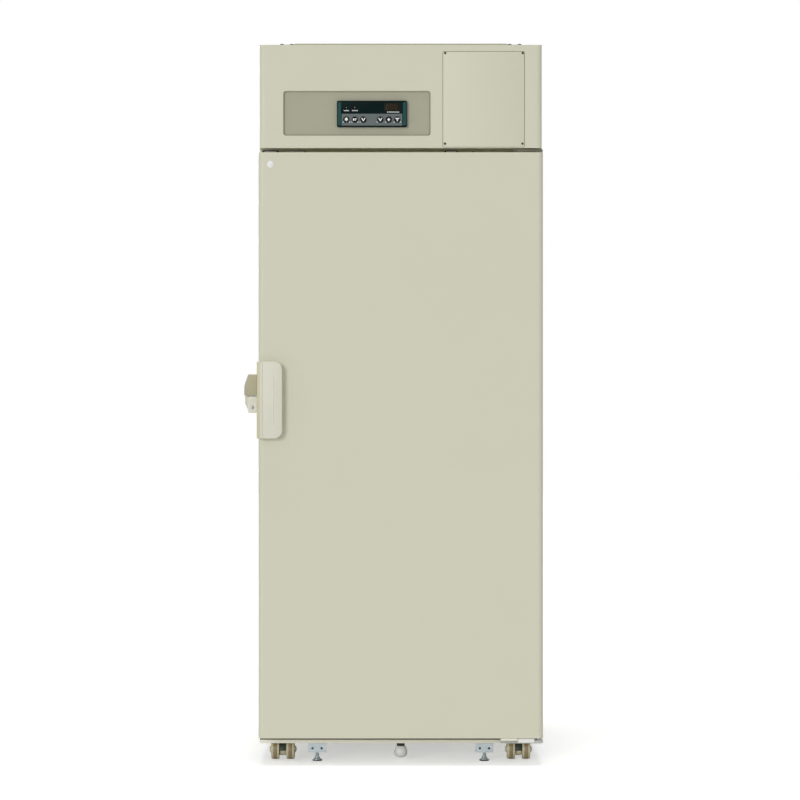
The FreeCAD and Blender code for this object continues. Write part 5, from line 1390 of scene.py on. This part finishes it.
@dataclass
class Machine:
    """Compressor, condenser, fan and electrical box."""

    compressor: Flat = (130.0, 600.0)
    floor: float = 1661.0
    mounts: Flat = (103.0, 68.0)
    fan_axis: Flat = (-190.0, 1786.0)
    fan_span: Span = (221.7, 243.7)
    block: tuple[Span, Span, Span] = ((-326.0, -58.0), (150.0, 210.0), (1661.0, 1911.0))
    fin_gap: float = 5.0
    fins: int = 53
    tube_rows: Span = (165.0, 195.0)
    tube_middle: float = -191.0
    tube_half: float = 136.0
    tube_levels: tuple[float, ...] = tuple(1674.0 + 25.0 * number for number in range(10))

    def build(self) -> None:
        """Dresses the housings and makes the detailed pieces."""
        dress("electrical_box", Finishes.machine)
        dress("fan_shroud", Finishes.steel)
        dress("power_rocker", Finishes.fan)
        self.make_compressor()
        self.make_condenser()
        self.make_fan()

    def make_compressor(self) -> None:
        """Makes the domed can with its weld ring, plate, feet, terminal cover and pipes."""
        x, y = self.compressor
        base = self.floor + 18.0
        can = [(0.0, base), (74.0, base), (86.0, base + 5), (90.0, base + 14), (90.5, base + 80), (91.8, base + 84),
               (91.8, base + 92), (90.0, base + 95), (88.0, base + 128), (80.0, base + 152), (62.0, base + 172),
               (38.0, base + 183), (14.0, base + 186.6), (0.0, base + 187)]
        shell = Form().lathe(can, (x, y, 0.0))
        shell.block((x - 115, x + 115), (y - 80.4, y + 80.4), (base - 3, base), 0.8, 12.0, Axis.Z)
        shell.block((x - 24, x + 24), (y - 91.0, y - 78.0), (base + 40, base + 100), 3.0)
        shell.piece("compressor_can", Finishes.machine, replaces=("compressor",), slot="machine_paint")
        feet = Form()
        for a in (-self.mounts[0], self.mounts[0]):
            for b in (-self.mounts[1], self.mounts[1]):
                mount = [(0.0, 0.0), (11.5, 0.0), (11.8, 3.0), (9.0, 8.0), (11.0, 12.0), (11.0, 15.0), (0.0, 15.0)]
                feet.lathe(mount, (x + a, y + b, self.floor), Axis.Z, 24)
        feet.piece("compressor_mounts", Finishes.rubber, slot="machine_paint")
        pipes = Form()
        pipes.bar([(x - 60, y - 30, base + 150), (x - 60, y - 30, base + 190), (x - 75, y - 45, base + 200),
                   (x - 170, y - 200, base + 200), (x - 190, y - 250, base + 180), (x - 190, 196, base + 180)], 4.0)
        pipes.bar([(x + 50, y - 40, base + 150), (x + 50, y - 40, base + 180), (x + 50, y - 60, base + 192),
                   (x + 50, y - 180, base + 192), (x + 50, y - 195, base + 180), (x + 50, y - 195, self.floor)], 5.0)
        pipes.piece("copper_pipes", Finishes.copper, slot="shelf_aluminium", sharp=60.0)

    def make_condenser(self) -> None:
        """Makes the finned block with its tube rows and end plates."""
        fins = Form()
        (left, right), (front, back), (low, high) = self.block
        for number in range(self.fins):
            edge = left + 4.0 + number * self.fin_gap
            fins.block((edge, edge + 0.6), (front + 2, back - 2), (low + 2, high - 2))
        for end in ((left, left + 1.5), (right - 1.5, right)):
            fins.block(end, (front, back), (low, high), 0.4)
        fins.piece("condenser_fins", Finishes.aluminium, replaces=("condenser",), slot="shelf_aluminium")
        tubes = Form()
        for y in self.tube_rows:
            line = [(self.tube_middle + x, y, z) for x, z in serpentine(self.tube_levels, self.tube_half, 10.0, 8)]
            tubes.bar(line, 3.4, 8)
        tubes.piece("condenser_tubes", Finishes.copper, slot="shelf_aluminium", sharp=60.0)

    def make_fan(self) -> None:
        """Makes the hub with its swept, twisted blades."""
        x, z = self.fan_axis
        front, back = self.fan_span
        hub = [(0.0, front), (17.0, front), (20.6, front + 1.6), (21.6, front + 5), (21.6, back), (3.0, back),
               (3.0, back + 17), (0.0, back + 17)]
        wheel = Form().lathe(hub, (x, 0.0, z), Axis.Y)
        for number in range(5):
            blade = self.blade()
            turn = Matrix.Rotation(math.tau * number / 5, 4, "Y")
            wheel.merge(blade, Matrix.Translation((x, (front + back) / 2, z)) @ turn)
        wheel.piece("fan_wheel", Finishes.fan, "fan", ("fan_blade",), "fan_plastic", 50.0)

    @staticmethod
    def blade() -> bmesh.types.BMesh:
        """One blade, drawn round the fan's axis.

        Returns:
            Its closed mesh.
        """
        shape = bmesh.new()
        rows = []
        for out in range(9):
            radius = 19.0 + (83.0 - 19.0) * out / 8
            chord = 30.0 + 12.0 * math.sin(math.pi * out / 9)
            twist = 0.40 - 0.15 * out / 8
            sweep = 0.10 * (out / 8) ** 2
            row = []
            for side, offset in ((1.0, 0.9), (-1.0, -0.9)):
                for step in range(7):
                    along = (step / 6 - 0.5) * side
                    bow = 1.8 * math.cos(math.pi * along)
                    angle = along * chord * math.cos(twist) / radius + sweep
                    depth = along * chord * math.sin(twist) + bow + offset * (1 - (2 * abs(along)) ** 3)
                    spot = (radius * math.cos(angle), depth * 0.6, radius * math.sin(angle))
                    row.append(shape.verts.new(spot))
            rows.append(row)
        skin(shape, rows)
        bmesh.ops.remove_doubles(shape, verts=shape.verts, dist=0.05)
        return shape


@dataclass
class Studio:
    """Pale floor, soft light and the camera."""

    background: float = 1.0
    ambient: float = 0.45
    front_share: float = 0.45
    floor_glow: float = 0.42
    floor_colour: tuple[float, float, float, float] = (0.86, 0.86, 0.86, 1.0)
    floor_half: float = 20.0
    sensor: float = 36.0
    suns: tuple[tuple[str, float, float, float, bool], ...] = (
        ("front_sun", 1.16, 10.0, 24.0, True), ("rear_sun", 1.2, 8.0, 170.0, False),
        ("top_sun", 0.8, 88.0, 0.0, True))
    sun_spread: float = 20.0
    lens: float = 116.56
    camera_place: Point = (0.018, -7.411, 0.989)

    def build(self) -> None:
        """Makes the world, the floor, the lamps and the camera."""
        self.world()
        self.floor()
        for sun in self.suns:
            self.sun(*sun)
        camera = bpy.data.objects.new("camera", bpy.data.cameras.new("camera"))
        camera.data.lens = self.lens
        camera.data.sensor_width = self.sensor
        camera.location = self.camera_place
        camera.rotation_euler = (math.pi / 2, 0.0, 0.0)
        bpy.context.scene.collection.objects.link(camera)
        bpy.context.scene.camera = camera
        bpy.context.scene.view_settings.view_transform = "Standard"

    def world(self) -> None:
        """Makes the world, which shows white and lights the object evenly."""
        world = bpy.data.worlds.new("studio")
        world.use_nodes = True
        tree = world.node_tree
        tree.nodes.clear()
        path = add(tree, "LightPath")
        seen = add(tree, "Math", {0: path.outputs["Is Camera Ray"], 1: path.outputs["Is Glossy Ray"]},
                   operation="MAXIMUM")
        through = add(tree, "Math", {0: seen.outputs["Value"], 1: path.outputs["Is Transmission Ray"]},
                      operation="MAXIMUM")
        place = add(tree, "TexCoord")
        parts = add(tree, "SeparateXYZ", {"Vector": place.outputs["Generated"]})
        level = add(tree, "MapRange", {
            "Value": parts.outputs["Y"], "From Min": -1.0, "To Min": self.ambient * (1 + self.front_share),
            "To Max": self.ambient * (1 - self.front_share)})
        soft = add(tree, "Background", {"Color": WHITE, "Strength": level.outputs["Result"]})
        shown = add(tree, "Background", {"Color": WHITE, "Strength": self.background})
        mix = add(tree, "MixShader", {0: through.outputs["Value"], 1: soft.outputs["Background"],
                                      2: shown.outputs["Background"]})
        add(tree, "OutputWorld", {"Surface": mix.outputs["Shader"]})
        bpy.context.scene.world = world

    def floor(self) -> None:
        """Makes the floor, which shows white where nothing shades it."""
        shape = bmesh.new()
        bmesh.ops.create_grid(shape, x_segments=1, y_segments=1, size=self.floor_half)
        data = bpy.data.meshes.new("studio_floor")
        shape.to_mesh(data)
        shape.free()
        floor = bpy.data.objects.new("studio_floor", data)
        bpy.context.scene.collection.objects.link(floor)
        paint = bpy.data.materials.new("studio_floor")
        paint.use_nodes = True
        path = add(paint.node_tree, "LightPath")
        glow = add(paint.node_tree, "Math", {0: path.outputs["Is Camera Ray"], 1: self.floor_glow},
                   operation="MULTIPLY")
        feed(paint.node_tree.nodes["Principled BSDF"], {
            "Base Color": self.floor_colour, "Roughness": 0.9, "Specular IOR Level": 0.0, "Emission Color": WHITE,
            "Emission Strength": glow.outputs["Value"]})
        data.materials.append(paint)

    def sun(self, name: str, strength: float, rise: float, left: float, shades: bool) -> None:
        """Adds one soft distant light.

        Args:
            name: The light's name.
            strength: Its strength.
            rise: How high it stands, in degrees.
            left: How far it stands to the left of the front, in degrees.
            shades: Whether it throws shadows.
        """
        light = bpy.data.lights.new(name, "SUN")
        light.energy = strength
        light.angle = math.radians(self.sun_spread)
        light.use_shadow = shades
        holder = bpy.data.objects.new(name, light)
        rise, left = math.radians(rise), math.radians(left)
        aim = Vector((math.sin(left) * math.cos(rise), math.cos(left) * math.cos(rise), -math.sin(rise)))
        holder.rotation_euler = aim.to_track_quat("-Z", "Y").to_euler()
        bpy.context.scene.collection.objects.link(holder)


def main() -> None:
    """Builds the whole freezer and its studio, piece by piece."""
    logging.basicConfig(level=logging.INFO, format="%(name)s: %(message)s")
    parts = [
        Cabinet(), Header(), ControlPanel(), Door(), Handle(), Catch(),
        Caster("front_left", (-323.0, 132.0), 66.0, wheel_radius=27.2),
        Caster("front_right", (323.0, 132.0), 66.0, wheel_radius=27.2),
        Caster("rear_left", (-323.0, 710.0), 60.0), Caster("rear_right", (323.0, 710.0), 60.0),
        LevellingFoot("left", -229.0), LevellingFoot("right", 229.0), Fittings(), Shelves(), Machine(), Studio(),
    ]
    for part in parts:
        part.build()
        log.info("%s is built", type(part).__name__)


if __name__ == "__main__":
    main()
